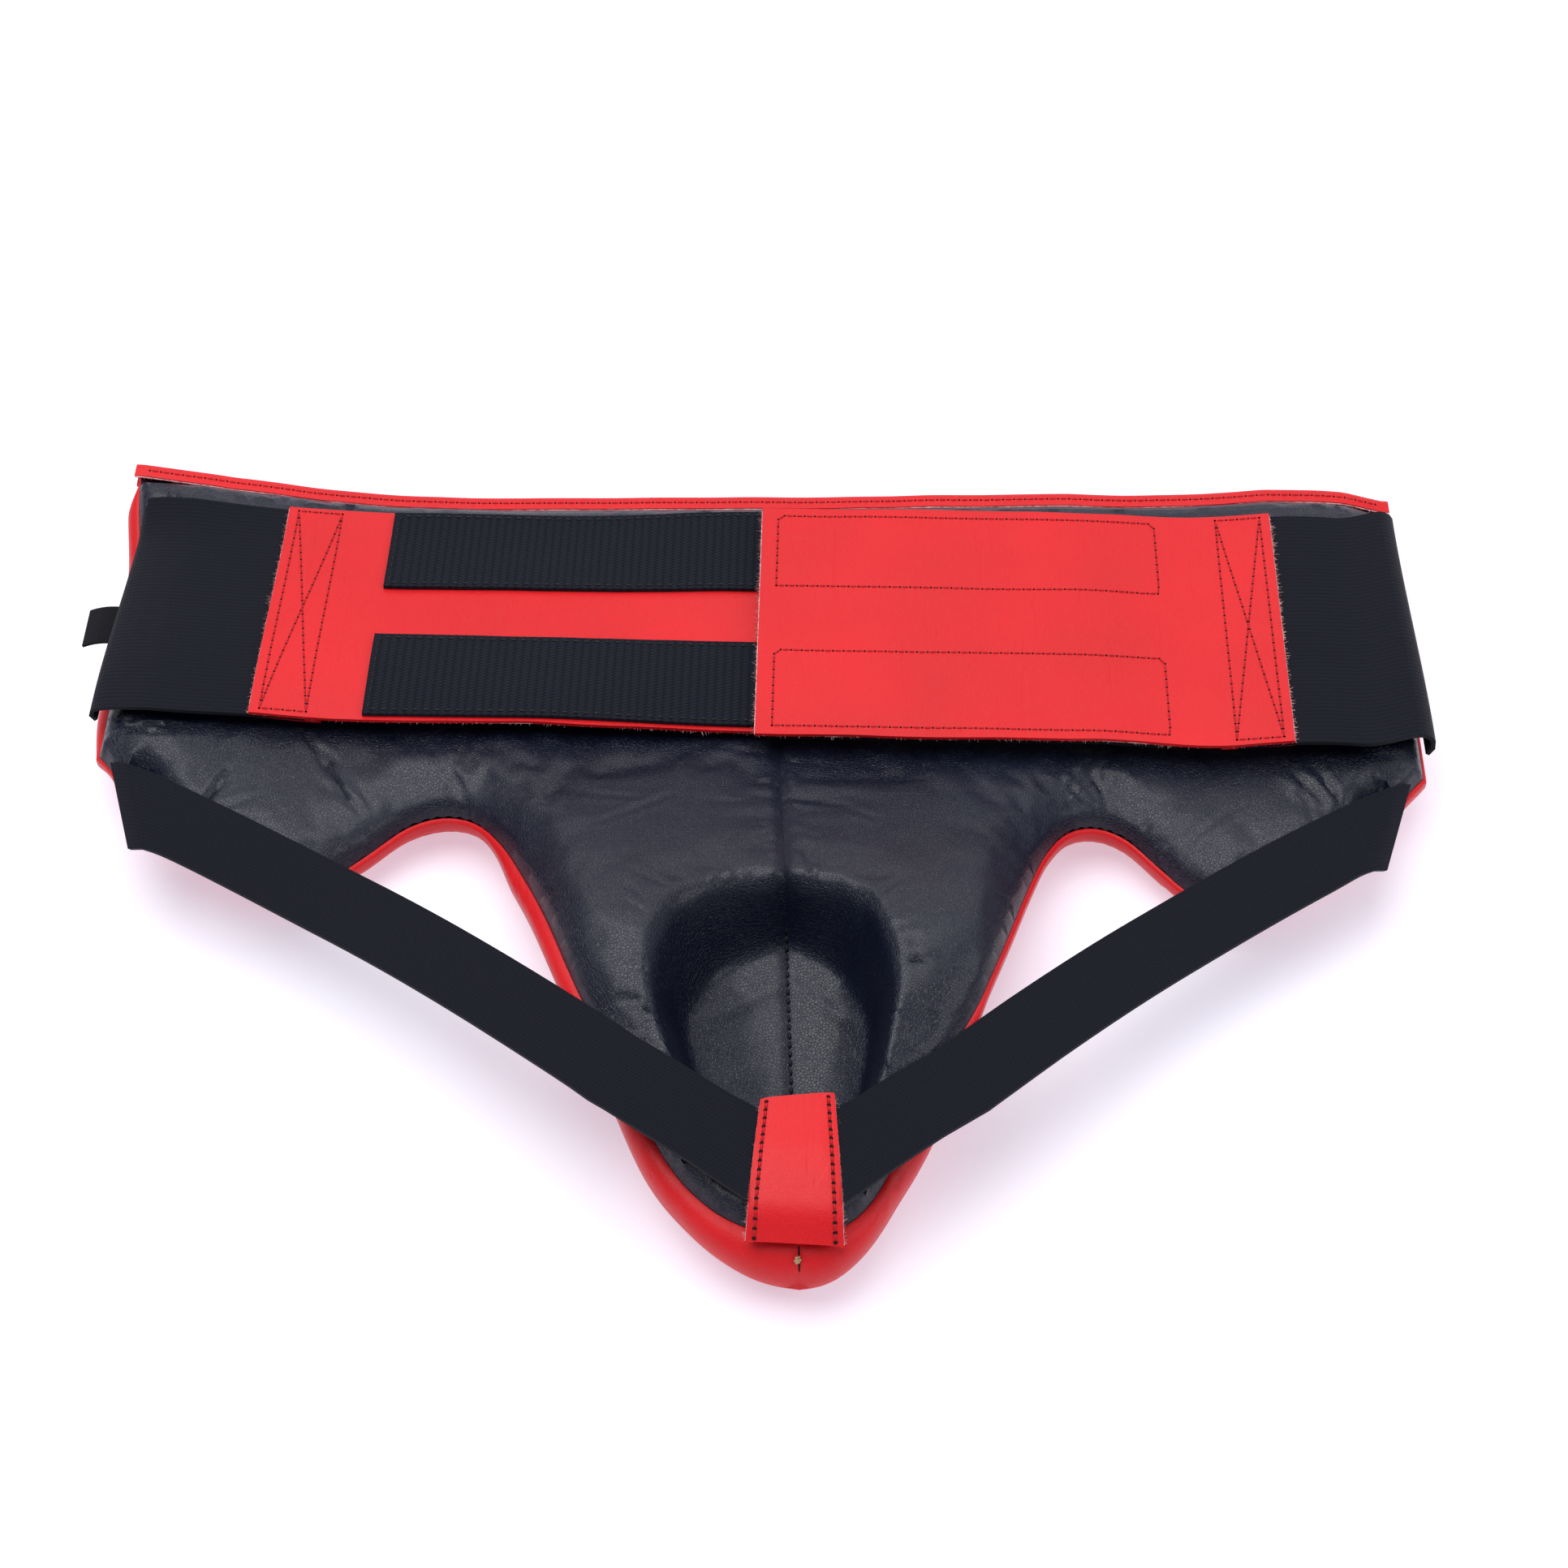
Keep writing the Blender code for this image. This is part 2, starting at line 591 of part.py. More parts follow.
def leg_strap(side, sign, parent):
    """Elastic from the wing's lower corner to the crotch tab, tight over the padding."""
    tab_x = float(leaned(0.0, STRAP_END_Y))
    start = Vector((sign * STRAP_START[0], STRAP_START[1]))
    end = Vector((tab_x + sign * (tab_half_at(STRAP_END_Y) + TAB_SIDE_GAP), STRAP_END_Y))
    along = (end - start).normalized()
    across = Vector((-along.y, along.x)) * (-sign * STRAP_WIDTH / 2)
    start_half = Vector((sign * STRAP_START_HALF[0], STRAP_START_HALF[1]))
    reach = STRAP_WIDTH / 2 / abs(along.x)
    plan = []
    for k in range(STRAP_STATIONS):
        s = k / (STRAP_STATIONS - 1)
        centre = start.lerp(end, s)
        half = start_half.lerp(across, float(smooth(s / STRAP_START_SHARE)))
        if k == STRAP_STATIONS - 1:
            slope = (tab_half_at(STRAP_END_Y - reach) - tab_half_at(STRAP_END_Y + reach)) / 2
            half = Vector((-sign * slope, reach))
        plan.append((centre - half, centre + half))
    heights = []
    for low, high in plan:
        t = np.linspace(0, 1, 9)
        x, y = low.x + (high.x - low.x) * t, low.y + (high.y - low.y) * t
        heights.append(float(lining_top(unleaned(x, y), y).max()) + STRAP / 2 + STRAP_CLEAR)
    heights[-1] = max(heights[-1], tab_middle_z())
    sections = [((*low, z), (*high, z)) for (low, high), z in zip(plan, taut(heights))]
    ribbon(f"leg_strap_{side}", sections, STRAP, BLACK_ELASTIC, parent)


def tab_half_at(y):
    """Half width of the crotch tab, wider at its sewn end."""
    return float(np.interp(y, TAB_Y, CROTCH_TAB_HALF))


def tab_path():
    """Middle line of the crotch tab's lower ply: over the padding, then level across the cup's mouth."""
    y = np.linspace(*TAB_Y, TAB_STATIONS)
    across = (np.zeros_like(y), np.full_like(y, CROTCH_TAB_HALF[1]))
    padding = np.maximum(*(lining_top(x, y) for x in across))
    heights = np.maximum.accumulate(padding) + TAB_CLEAR
    return [Vector(point) for point in zip(y, taut(heights))]


def tab_middle_z(y=STRAP_END_Y):
    """Height halfway between the crotch tab's two plies."""
    path = tab_path()
    return float(np.interp(y, [p.x for p in path], [p.y for p in path])) + TAB_PLY_STEP / 2


def crotch_tab(parent):
    """Two leather plies sewn to the crotch seam, with the straps' elastic passing between them."""
    middle = float(leaned(0.0, STRAP_END_Y))
    path = tab_path()
    sewn_end = (middle, TAB_Y[0], tab_middle_z(TAB_Y[0]))
    tab_root = joint_empty("crotch_tab_lift", sewn_end, parent)
    layers = (
        ("crotch_tab_back", 0.0, PLY, RED_LEATHER, range(TAB_STATIONS)),
        ("strap_bridge", TAB_PLY_STEP / 2, STRAP, BLACK_ELASTIC, BRIDGE_STATIONS),
        ("crotch_tab_front", TAB_PLY_STEP, PLY, RED_LEATHER, range(TAB_STATIONS)),
    )
    for name, lift, thickness, look, stations in layers:
        sections = []
        for k in stations:
            run = path[min(k + 1, TAB_STATIONS - 1)] - path[max(k - 1, 0)]
            y, z = path[k] + Vector((-run.y, run.x)).normalized() * lift
            half = tab_half_at(path[k].x)
            sections.append(((middle - half, y, z), (middle + half, y, z)))
        ribbon(name, sections, thickness, look, tab_root)


def top_binding(parent):
    """Folded leather strip round the waist edge, extruded from its U section."""
    low, high = WING_SEAM_Z - COVER - GAP, WING_SEAM_Z + LINING + 2 * GAP
    outer_low, outer_high = low - PLY, high + PLY
    fold, outer_fold = TOP_Y + GAP, TOP_Y + GAP + PLY
    lip = TOP_Y - BINDING_LAP
    inside = ((lip, low), (fold, low), (fold, high), (lip, high))
    outside = ((lip, outer_high), (outer_fold, outer_high), (outer_fold, outer_low), (lip, outer_low))
    end_x = END_X + BINDING_OVERHANG
    shape = bmesh.new()
    ring = [shape.verts.new((-end_x, y, z)) for y, z in (*inside, *outside)]
    face = shape.faces.new(ring)
    made = bmesh.ops.extrude_face_region(shape, geom=[face])
    moved = [g for g in made["geom"] if isinstance(g, bmesh.types.BMVert)]
    bmesh.ops.translate(shape, verts=moved, vec=(2 * end_x, 0, 0))
    bmesh.ops.recalc_face_normals(shape, faces=shape.faces)
    mesh = bpy.data.meshes.new("top_binding")
    shape.to_mesh(mesh)
    shape.free()
    add_object("top_binding", mesh, RED_LEATHER, parent)


def woven_label(parent):
    path = [(x, LABEL_Z) for x in LABEL_X]
    belt_strip("woven_label", path, LABEL_Y, LABEL, WOVEN_LABEL, parent)


def main():
    clear_scene()
    panel_frame = bpy.data.objects.new("panel_frame", None)
    panel_frame.location = PANEL_ORIGIN
    bpy.context.scene.collection.objects.link(panel_frame)
    padded_panel(panel_frame)
    top_binding(panel_frame)
    closure(panel_frame)
    for side, sign in (("left", -1), ("right", 1)):
        leg_strap(side, sign, panel_frame)
    crotch_tab(panel_frame)
    woven_label(panel_frame)


main()
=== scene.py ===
"""Looks of a boxing groin protector that lies on its padded front, with the lining up and the belt closed.

Panel coordinates are those of the part before its crotch end leans over: X = 0 is the centre seam,
+Y the waist edge. place() carries a panel point to the row frame.
"""

import functools
import itertools
import math
import random

import bpy
import numpy as np
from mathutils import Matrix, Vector, kdtree, noise
from mathutils.geometry import delaunay_2d_cdt


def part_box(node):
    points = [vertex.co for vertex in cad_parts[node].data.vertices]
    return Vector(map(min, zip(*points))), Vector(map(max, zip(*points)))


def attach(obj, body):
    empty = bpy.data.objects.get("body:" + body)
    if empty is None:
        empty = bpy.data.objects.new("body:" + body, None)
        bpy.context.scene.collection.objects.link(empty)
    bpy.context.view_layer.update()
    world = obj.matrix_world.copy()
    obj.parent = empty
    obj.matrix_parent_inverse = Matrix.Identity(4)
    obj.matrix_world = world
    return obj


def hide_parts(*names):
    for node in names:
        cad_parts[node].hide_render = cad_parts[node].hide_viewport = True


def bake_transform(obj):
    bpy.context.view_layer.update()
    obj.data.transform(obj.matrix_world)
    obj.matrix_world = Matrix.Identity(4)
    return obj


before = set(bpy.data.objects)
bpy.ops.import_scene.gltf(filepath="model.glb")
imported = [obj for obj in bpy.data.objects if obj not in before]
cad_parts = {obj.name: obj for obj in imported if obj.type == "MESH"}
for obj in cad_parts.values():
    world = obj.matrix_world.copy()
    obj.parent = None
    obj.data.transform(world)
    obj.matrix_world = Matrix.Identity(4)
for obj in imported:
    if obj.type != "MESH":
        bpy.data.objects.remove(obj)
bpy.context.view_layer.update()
SEED = 7
SIDES = {"left": -1, "right": 1}

# ---------------------------------------------------------------- driving dimensions, in metres
PANEL_ORIGIN = np.array((0.0077, 0.0102, 0.0))
END_X = 0.2245
TOP_Y = 0.1535
PAD_TOP_Y = 0.1465
LOWER_EDGE = (
    (0.0000, -0.1662), (0.0142, -0.1630), (0.0270, -0.1552), (0.0387, -0.1400),
    (0.0482, -0.1160), (0.0568, -0.0940), (0.0650, -0.0725), (0.0735, -0.0515),
    (0.0815, -0.0330), (0.0900, -0.0145), (0.0990, -0.0025), (0.1095, 0.0015),
    (0.1205, -0.0020), (0.1320, -0.0130), (0.1430, -0.0230), (0.1560, -0.0275),
    (0.1720, -0.0235), (0.1900, -0.0135), (0.2070, 0.0020), (END_X, 0.0220),
)
CUP_MOUTH = (
    (0.0000, -0.0460), (0.0200, -0.0480), (0.0330, -0.0560), (0.0380, -0.0680),
    (0.0385, -0.0840), (0.0350, -0.1020), (0.0280, -0.1200), (0.0160, -0.1340),
    (0.0000, -0.1390),
)
WING_SEAM_Z = 0.014
TONGUE_RISE = 0.026
CROTCH_DROOP = 0.012
WING_CROWN = 0.010
TONGUE_CROWN = 0.013
CROTCH_CROWN_LOSS = 0.40
CROWN_REACH = 0.022
HEM_WIDTH = 0.002
SIDE_TUCK = 0.0045
SIDE_TUCK_X = (0.200, 0.219)
SIDE_TUCK_Y = (0.070, 0.115)
FRONT_CROWN = 0.014
BULGE_WING = 0.0014
BULGE_TONGUE_LEFT = 0.0039
BULGE_TONGUE_RIGHT = 0.0014
BULGE_TONGUE_Y = (0.000, -0.035)
BULGE_TONGUE_X = (0.088, 0.105)
BULGE_CROTCH = 0.0094
BULGE_CROTCH_LEFT = 0.0058
BULGE_CROTCH_RIGHT = 0.0056
BULGE_CROTCH_X = (0.004, 0.034)
BULGE_END_LEFT = 0.0048
BULGE_END_X = (-0.2150, -0.2235)
BULGE_END_LOW_Y = (0.010, 0.045)
BULGE_END_HIGH_Y = (0.135, 0.150)
ROLL = 1.1
DOME_DEPTH = 0.027
DOME_CENTRE_Y = -0.095
DOME_HALF = (0.060, 0.085)
CUP_WALL_DEPTH = 0.024
CUP_BOWL_DEPTH = 0.010
CUP_SHALLOWER = 0.30
TONGUE_RISE_Y = (0.060, -0.090)
TONGUE_RISE_X = (0.060, 0.150)
CROTCH_DROOP_Y = (-0.050, -0.165)
TONGUE_CROWN_Y = (0.020, -0.070)
TONGUE_CROWN_X = (0.060, 0.120)
CROWN_LOSS_Y = (-0.055, -0.115)
BULGE_GROWTH_Y = (-0.080, -0.130)
BULGE_END_Y = (0.105, 0.130)
CUP_WALL_REACH = (-0.0055, 0.0065)
CUP_WAIST_WALL = 0.0065
CUP_WAIST_X = 0.028
CUP_WAIST_Y = (-0.090, -0.055)
CUP_BOWL_REACH = 0.034
CUP_SHALLOWER_Y = (-0.105, -0.140)
LEAN = 0.052
LEAN_REACH_X = 0.150

GAP = 0.0003
LINING = 0.0012
COVER = 0.0014
PLY = 0.0012
BAND = 0.0015
STRIP = 0.0014
STRAP = 0.0015

# How far the waist edge lifts off the surface, by X, and over which Y.
WAIST_LIFT = (
    (-END_X, 0.0080), (-0.195, 0.0040), (-0.150, 0.0030), (-0.090, 0.0020), (0.0, 0.0045),
    (0.110, 0.0085), (0.180, 0.0080), (0.210, 0.0040), (END_X, -0.0010),
)
WAIST_LIFT_Y = (0.112, 0.150)
# How far the wing ends lift off the surface, and how the left top corner curls outward.
WING_LIFT = {-1: 0.0085, 1: 0.0080}
WING_LIFT_X = (0.130, 0.225)
CORNER_CURL = 0.0045
CORNER_X = (-0.185, -END_X)
CORNER_Y = (0.100, 0.148)
# The tongue lies rolled over: its right half looks narrower, its left side shows more of the cover.
RIGHT_SQUEEZE = 0.21
SQUEEZE_Y = (0.000, -0.060)
SQUEEZE_X = (0.062, 0.038)
RIGHT_FLARE = 0.0022
FLARE_Y = (-0.062, 0.030)
PULL_Y = (-0.082, 0.036)
LEFT_PULL = -0.0036
FLARE_START_X = (0.035, 0.062)
FLARE_END_X = (0.090, 0.115)

VISIBLE_SPACING = 0.0017
HIDDEN_SPACING = 0.0034
# The belt hides the lining above HIDDEN_Y, between the wing ends at HIDDEN_X.
HIDDEN_Y = 0.034
HIDDEN_X = 0.2
PLAN_HALF_X = 0.232
CENTRE_LINE_Y = (-0.180, 0.160)
SEEN_ZONE_Y = (-0.180, 0.036)
BELT_ZONE_Y = (0.030, 0.156)
COVER_ZONE_Y = (-0.185, 0.156)
FOAM_ZONE_Y = (-0.180, 0.150)
RIM_STEP = 0.0020
DEPTH_STEP = 0.0040
# Pitch and thread radius of each seam, and number and reach of the loose fibres on each raw edge.
TAB_STITCHES = (0.0036, 0.00030)
LOOP_STITCHES = (0.0036, 0.00033)
CROTCH_STITCHES = (0.0029, 0.00046)
BINDING_STITCHES = (0.0040, 0.00030)
CUP_STITCHES = (0.0030, 0.00050)
TAB_END_FIBRES = (420, 0.0011)
TAB_SIDE_FIBRES = (500, 0.0008)
CROTCH_FIBRES = (160, 0.0009)
BINDING_FIBRES = (900, 0.0009)


# ---------------------------------------------------------------- shape of the panel
def smooth(t):
    t = np.clip(t, 0.0, 1.0)
    return t * t * (3.0 - 2.0 * t)


def hump(value, reach):
    """1 where value is 0, falling off on both sides over about reach."""
    return np.exp(-((value / reach) ** 2))


def ramp(value, start_end):
    """0 at the pair's first number, 1 at its second, smooth in between."""
    start, end = start_end
    return smooth((value - start) / (end - start))


def unit(vectors):
    """The vectors, each made 1 long."""
    return vectors / np.maximum(np.linalg.norm(vectors, axis=-1, keepdims=True), 1e-12)


def left_of(run):
    """Unit plan vectors to the left of each step of a run."""
    return unit(np.stack([-run[:, 1], run[:, 0]], 1))


def curve_through(points, step):
    """Points about step apart along a Catmull-Rom curve through the given ones."""
    p = np.array(points)
    p = np.vstack([2 * p[0] - p[1], p, 2 * p[-1] - p[-2]])
    made = [p[1]]
    for a, b, c, d in zip(p, p[1:], p[2:], p[3:]):
        count = max(1, round(float(np.linalg.norm(c - b)) / step))
        for k in range(1, count + 1):
            t = k / count
            bend = 2 * a - 5 * b + 4 * c - d
            twist = 3 * b - a - 3 * c + d
            made.append(0.5 * (2 * b + (c - a) * t + bend * t**2 + twist * t**3))
    return np.array(made)


def mirrored(half):
    """Closed outline from its right half, whose two ends lie on X = 0."""
    return np.vstack([half, (half * (-1, 1))[-2:0:-1]])


def straight(a, b, step):
    """Points from a to b, without b."""
    a, b = np.array(a, float), np.array(b, float)
    count = max(1, round(float(np.linalg.norm(b - a)) / step))
    return np.array([a + (b - a) * k / count for k in range(count)])


def panel_half(top_y, step, outward=None):
    """Right half of the panel's outline, crotch to waist, moved outward.

    outward is a distance, or a function of x and y that gives one for each point.
    """
    low = curve_through(LOWER_EDGE, step)
    side = straight((END_X, LOWER_EDGE[-1][1]), (END_X, top_y), step)[1:]
    top = np.vstack([straight((END_X, top_y), (0, top_y), step), [(0, top_y)]])
    half = np.vstack([low, side, top])
    if outward is None:
        return half
    normal = -left_of(np.gradient(half, axis=0))
    normal[0] = (0, -1)
    normal[-1] = (0, 1)
    return half + normal * (outward(*half.T)[:, None] if callable(outward) else outward)


def inside_depth(x, y, outline):
    """Distance to the closed outline, positive inside it."""
    px, py = np.ravel(x), np.ravel(y)
    nearest = np.full(len(px), np.inf)
    crossings = np.zeros(len(px), int)
    for (ax, ay), (bx, by) in zip(outline, np.roll(outline, -1, axis=0)):
        dx, dy = bx - ax, by - ay
        t = np.clip(((px - ax) * dx + (py - ay) * dy) / (dx * dx + dy * dy + 1e-18), 0, 1)
        nearest = np.minimum(nearest, (px - ax - t * dx) ** 2 + (py - ay - t * dy) ** 2)
        spans = (ay > py) != (by > py)
        crossings += spans & (px < ax + (py - ay) * dx / (dy if dy else 1e-18))
    nearest = np.sqrt(nearest)
    return np.where(crossings % 2 == 1, nearest, -nearest).reshape(np.shape(x))


PAD_OUTLINE = mirrored(panel_half(PAD_TOP_Y, DEPTH_STEP))
MOUTH_OUTLINE = mirrored(curve_through(CUP_MOUTH, DEPTH_STEP))


def cover_bulge(x, y):
    """How far the cover's rolled edge stands outside the seam."""
    side = np.where(x < 0, BULGE_TONGUE_LEFT, BULGE_TONGUE_RIGHT)
    tongue = ramp(y, BULGE_TONGUE_Y) * (1 - ramp(np.abs(x), BULGE_TONGUE_X))
    grown = BULGE_WING + (side - BULGE_WING) * tongue
    flank = np.where(x < 0, BULGE_CROTCH_LEFT, BULGE_CROTCH_RIGHT)
    crotch = BULGE_CROTCH + (flank - BULGE_CROTCH) * ramp(np.abs(x), BULGE_CROTCH_X)
    grown = grown + (crotch - grown) * ramp(y, BULGE_GROWTH_Y)
    grown = grown * (1 - ramp(y, BULGE_END_Y))
    end = BULGE_END_LEFT * ramp(y, BULGE_END_LOW_Y) * (1 - ramp(y, BULGE_END_HIGH_Y))
    return grown + (end - grown) * ramp(x, BULGE_END_X)


def seam_height(x, y):
    rise = ramp(y, TONGUE_RISE_Y) * (1 - ramp(np.abs(x), TONGUE_RISE_X))
    return WING_SEAM_Z + TONGUE_RISE * rise - CROTCH_DROOP * ramp(y, CROTCH_DROOP_Y)


def quarter_round(t):
    return np.sqrt(1 - (1 - np.clip(t, 0, 1)) ** 2)


def lining_height(x, y, depth, mouth):
    """Upper face of the lining, from its depth inside the panel and inside the cup's mouth."""
    tongue = ramp(y, TONGUE_CROWN_Y) * (1 - ramp(np.abs(x), TONGUE_CROWN_X))
    crown = WING_CROWN + (TONGUE_CROWN - WING_CROWN) * tongue
    crown = crown * (1 - CROTCH_CROWN_LOSS * ramp(y, CROWN_LOSS_Y))
    crown = crown - SIDE_TUCK * ramp(np.abs(x), SIDE_TUCK_X) * ramp(y, SIDE_TUCK_Y)
    start, end = CUP_WALL_REACH
    waist_wall = CUP_WAIST_WALL * ramp(y, CUP_WAIST_Y) * (0.3 + 1.7 * np.clip(np.abs(x) / CUP_WAIST_X, 0, 1))
    wall = CUP_WALL_DEPTH * ramp(mouth, (start, end + waist_wall))
    bowl = CUP_BOWL_DEPTH * (1 - (1 - np.clip(mouth / CUP_BOWL_REACH, 0, 1)) ** 2)
    shallow = 1 - CUP_SHALLOWER * ramp(y, CUP_SHALLOWER_Y)
    edge = seam_height(x, y) + GAP + LINING * smooth(depth / HEM_WIDTH)
    return edge + crown * quarter_round(depth / CROWN_REACH) - (wall + bowl) * shallow


def cover_height(x, y, depth):
    """Outer face of the front cover, from its depth inside the padding's outline."""
    bulge = cover_bulge(x, y)
    seam = seam_height(x, y)
    off_centre = (x / DOME_HALF[0]) ** 2 + ((y - DOME_CENTRE_Y) / DOME_HALF[1]) ** 2
    dome = smooth(np.sqrt(np.clip(1 - off_centre, 0, 1)) * 1.04)
    front = np.maximum(0.0, seam - FRONT_CROWN - DOME_DEPTH * dome)
    edge = seam - COVER - ROLL * bulge
    return edge - (edge - front) * quarter_round((depth + bulge) / CROWN_REACH)


def leaned(x, y):
    """X of a panel point once the soft crotch end has leaned and rolled over."""
    squeeze = RIGHT_SQUEEZE * ramp(y, SQUEEZE_Y) * ramp(x, SQUEEZE_X)
    flare, pull = (hump(y - at, reach) for at, reach in (FLARE_Y, PULL_Y))
    flare = np.where(x > 0, RIGHT_FLARE * flare, LEFT_PULL * pull)
    flare = flare * ramp(np.abs(x), FLARE_START_X) * (1 - ramp(np.abs(x), FLARE_END_X))
    shifted = x - squeeze * np.maximum(x, 0.0) + flare
    return shifted + LEAN * (TOP_Y - y) * np.maximum(0.0, 1 - (x / LEAN_REACH_X) ** 2)


def waist_lift(x, y):
    """How far the panel's waist edge has curled up at a point."""
    xs, lifts = zip(*WAIST_LIFT)
    return np.interp(x, xs, lifts) * ramp(y, WAIST_LIFT_Y)


def wing_lift(x):
    """How far a wing's end stands off the surface at X."""
    return np.where(x < 0, WING_LIFT[-1], WING_LIFT[1]) * ramp(np.abs(x), WING_LIFT_X)


def place(x, y, z):
    """Panel coordinates to the row frame, as an array of points."""
    lifted = z + waist_lift(x, y) + wing_lift(x)
    curl = CORNER_CURL * ramp(x, CORNER_X) * ramp(y, CORNER_Y)
    return np.stack([leaned(x, y) - curl, y, lifted], -1) + PANEL_ORIGIN


# ---------------------------------------------------------------- noise and creases
def wander(points, scale, seed=0.0):
    """Smooth noise from -1 to 1 at each point, with features about scale long."""
    shift = Vector((seed, -seed, 0.5 * seed))
    return np.array([noise.noise(Vector(p) / scale + shift) for p in points])


def plan_points(x, y):
    return np.stack([x, y, np.zeros_like(x)], 1)


def folds(phase, points, sharp, seed):
    """Creases along a phase: narrow dips between rounded ridges, uneven from place to place."""
    uneven = wander(points, 0.030, seed) * 2.2
    wave = 0.5 + 0.5 * np.sin(phase + uneven)
    return wave**sharp - 0.5


def strokes(x, y, lines):
    """Height of long narrow creases: each is (x, y, heading, length, width, depth, bend)."""
    total = np.zeros(len(x))
    for ax, ay, heading, length, width, deep, bend in lines:
        near = np.hypot(x - ax, y - ay) < length + 4 * width
        dx, dy = x[near] - ax, y[near] - ay
        along = (dx * math.cos(heading) + dy * math.sin(heading)) / length
        off = -dx * math.sin(heading) + dy * math.cos(heading) - bend * length * along * along
        spread = width * (0.6 + 0.6 * np.clip(along, 0, 1))
        taper = smooth(along / 0.18) * smooth((1 - along) / 0.55)
        valley = hump(off, 0.5 * spread)
        ridge = hump(np.abs(off) - spread, 0.6 * spread)
        total[near] += deep * taper * (0.45 * ridge - valley)
    return total


CUP_CENTRE_Y = -0.092
CUP_FOLD_Y = -0.067
CROTCH_END_Y = -0.105
# Kinds of crease: length, range of widths, depth, how far their places stray, how far they turn.
CREASES = {
    "leg_right": (0.036, (0.0012, 0.0026), 0.0009, 0.012, 0.80),
    "leg_left": (0.030, (0.0012, 0.0026), 0.0007, 0.012, 0.75),
    "leg_left_side": (0.040, (0.0016, 0.0030), 0.0009, 0.007, 0.30),
    "wing_end": (0.034, (0.0016, 0.0030), 0.0010, 0.002, 0.35),
    "wing_corner": (0.030, (0.0016, 0.0030), 0.0010, 0.010, 0.40),
    "cup_rim": (0.018, (0.0014, 0.0026), 0.0007, 0.001, 0.35),
    "cup_wall": (0.012, (0.0012, 0.0024), 0.0006, 0.001, 0.40),
    "centre_seam": (0.011, (0.0007, 0.0015), 0.00055, 0.0, 0.0),
    "crotch_edge": (0.016, (0.0009, 0.0019), 0.0012, 0.0015, 0.35),
    "edge": (0.010, (0.0009, 0.0019), 0.00065, 0.0015, 0.35),
    "waist": (0.024, (0.0014, 0.0030), 0.0013, 0.001, 0.40),
    "middle": (0.034, (0.0012, 0.0030), 0.00038, 0.0, 0.0),
}


@functools.cache
def crease_lines():
    """Where the lining creases: round the leg openings, the cup, the seams and the wing ends."""
    draw = random.Random(SEED)
    lines = []

    def scatter(kind, base, heading, count=1):
        length, width, deep, stray, turn = CREASES[kind]
        for _ in range(count):
            ax, ay = (value + draw.uniform(-stray, stray) for value in base)
            turned = heading + draw.uniform(-turn, turn)
            scale = draw.uniform(0.55, 1.15)
            size = draw.uniform(*width)
            depth = deep * scale * size / width[1]
            lines.append((ax, ay, turned, length * scale, size, depth, draw.uniform(-0.10, 0.10)))

    up = math.pi / 2
    scatter("leg_right", (0.106, 0.0070), up + 0.10, 12)
    scatter("leg_left", (-0.104, 0.0070), up - 0.25, 8)
    scatter("leg_left_side", (-0.128, -0.002), up + 0.9, 5)
    for side in (-1, 1):
        inward = math.pi if side > 0 else 0.0
        for _ in range(9):
            scatter("wing_end", (side * 0.2215, draw.uniform(0.022, 0.060)), inward + side * 0.25)
        scatter("wing_corner", (side * 0.195, -0.006), up + side * 0.7, 5)
    for kind, distance, outward, count in (("cup_rim", -0.002, 1, 46), ("cup_wall", 0.0045, -1, 30)):
        ring = offset_mouth(distance)
        for _ in range(count):
            px, py = ring[draw.randrange(len(ring))]
            scatter(kind, (px, py), math.atan2(outward * (py - CUP_CENTRE_Y), outward * px))
    for _ in range(44):
        side = draw.choice((-1, 1))
        ay = draw.uniform(-0.042, 0.034)
        heading = (0.0 if side > 0 else math.pi) - side * draw.uniform(0.1, 0.9)
        scatter("centre_seam", (side * 0.0012, ay), heading)
    edge = mirrored(panel_half(PAD_TOP_Y, RIM_STEP, -0.0012))
    for _ in range(250):
        j = draw.randrange(len(edge))
        (px, py), (qx, qy) = edge[j], edge[(j + 1) % len(edge)]
        kind, count = ("crotch_edge", 2) if py < CROTCH_END_Y else ("edge", 1)
        scatter(kind, (px, py), math.atan2(qy - py, qx - px) + up, count)
    for _ in range(26):
        ax = draw.choice((-1, -1, 1)) * draw.uniform(0.150, 0.216)
        scatter("waist", (ax, 0.1445), -up)
    for _ in range(46):
        base = (draw.uniform(-0.20, 0.20), draw.uniform(-0.03, 0.036))
        scatter("middle", base, draw.uniform(0.0, math.pi))
    return lines


def creases(x, y, depth, mouth):
    """Height that the lining's puckers and creases add."""
    points = plan_points(x, y)
    total = 0.0006 * wander(points, 0.040, 1.0) * smooth(depth / 0.02)
    total += 0.00016 * wander(points, 0.011, 2.0) * smooth(depth / 0.01)
    total += strokes(x, y, crease_lines()) * smooth(depth / 0.0015)
    off = np.abs(x)
    outside_cup = 1 - 0.75 * ramp(mouth, (0.0, 0.008))
    total -= 0.0010 * hump(off, SEAM_GROOVE_HALF) * (0.4 + 0.6 * outside_cup)
    total -= 0.0005 * hump(off, 0.006) * outside_cup
    total += 0.0005 * hump(off - 0.0042, 0.0018) * outside_cup
    fold = y - CUP_FOLD_Y + 0.50 * off - 0.0015 * np.sin(off * 190)
    return total + 0.0006 * hump(fold, 0.0030) * ramp(mouth, (0.005, 0.012))


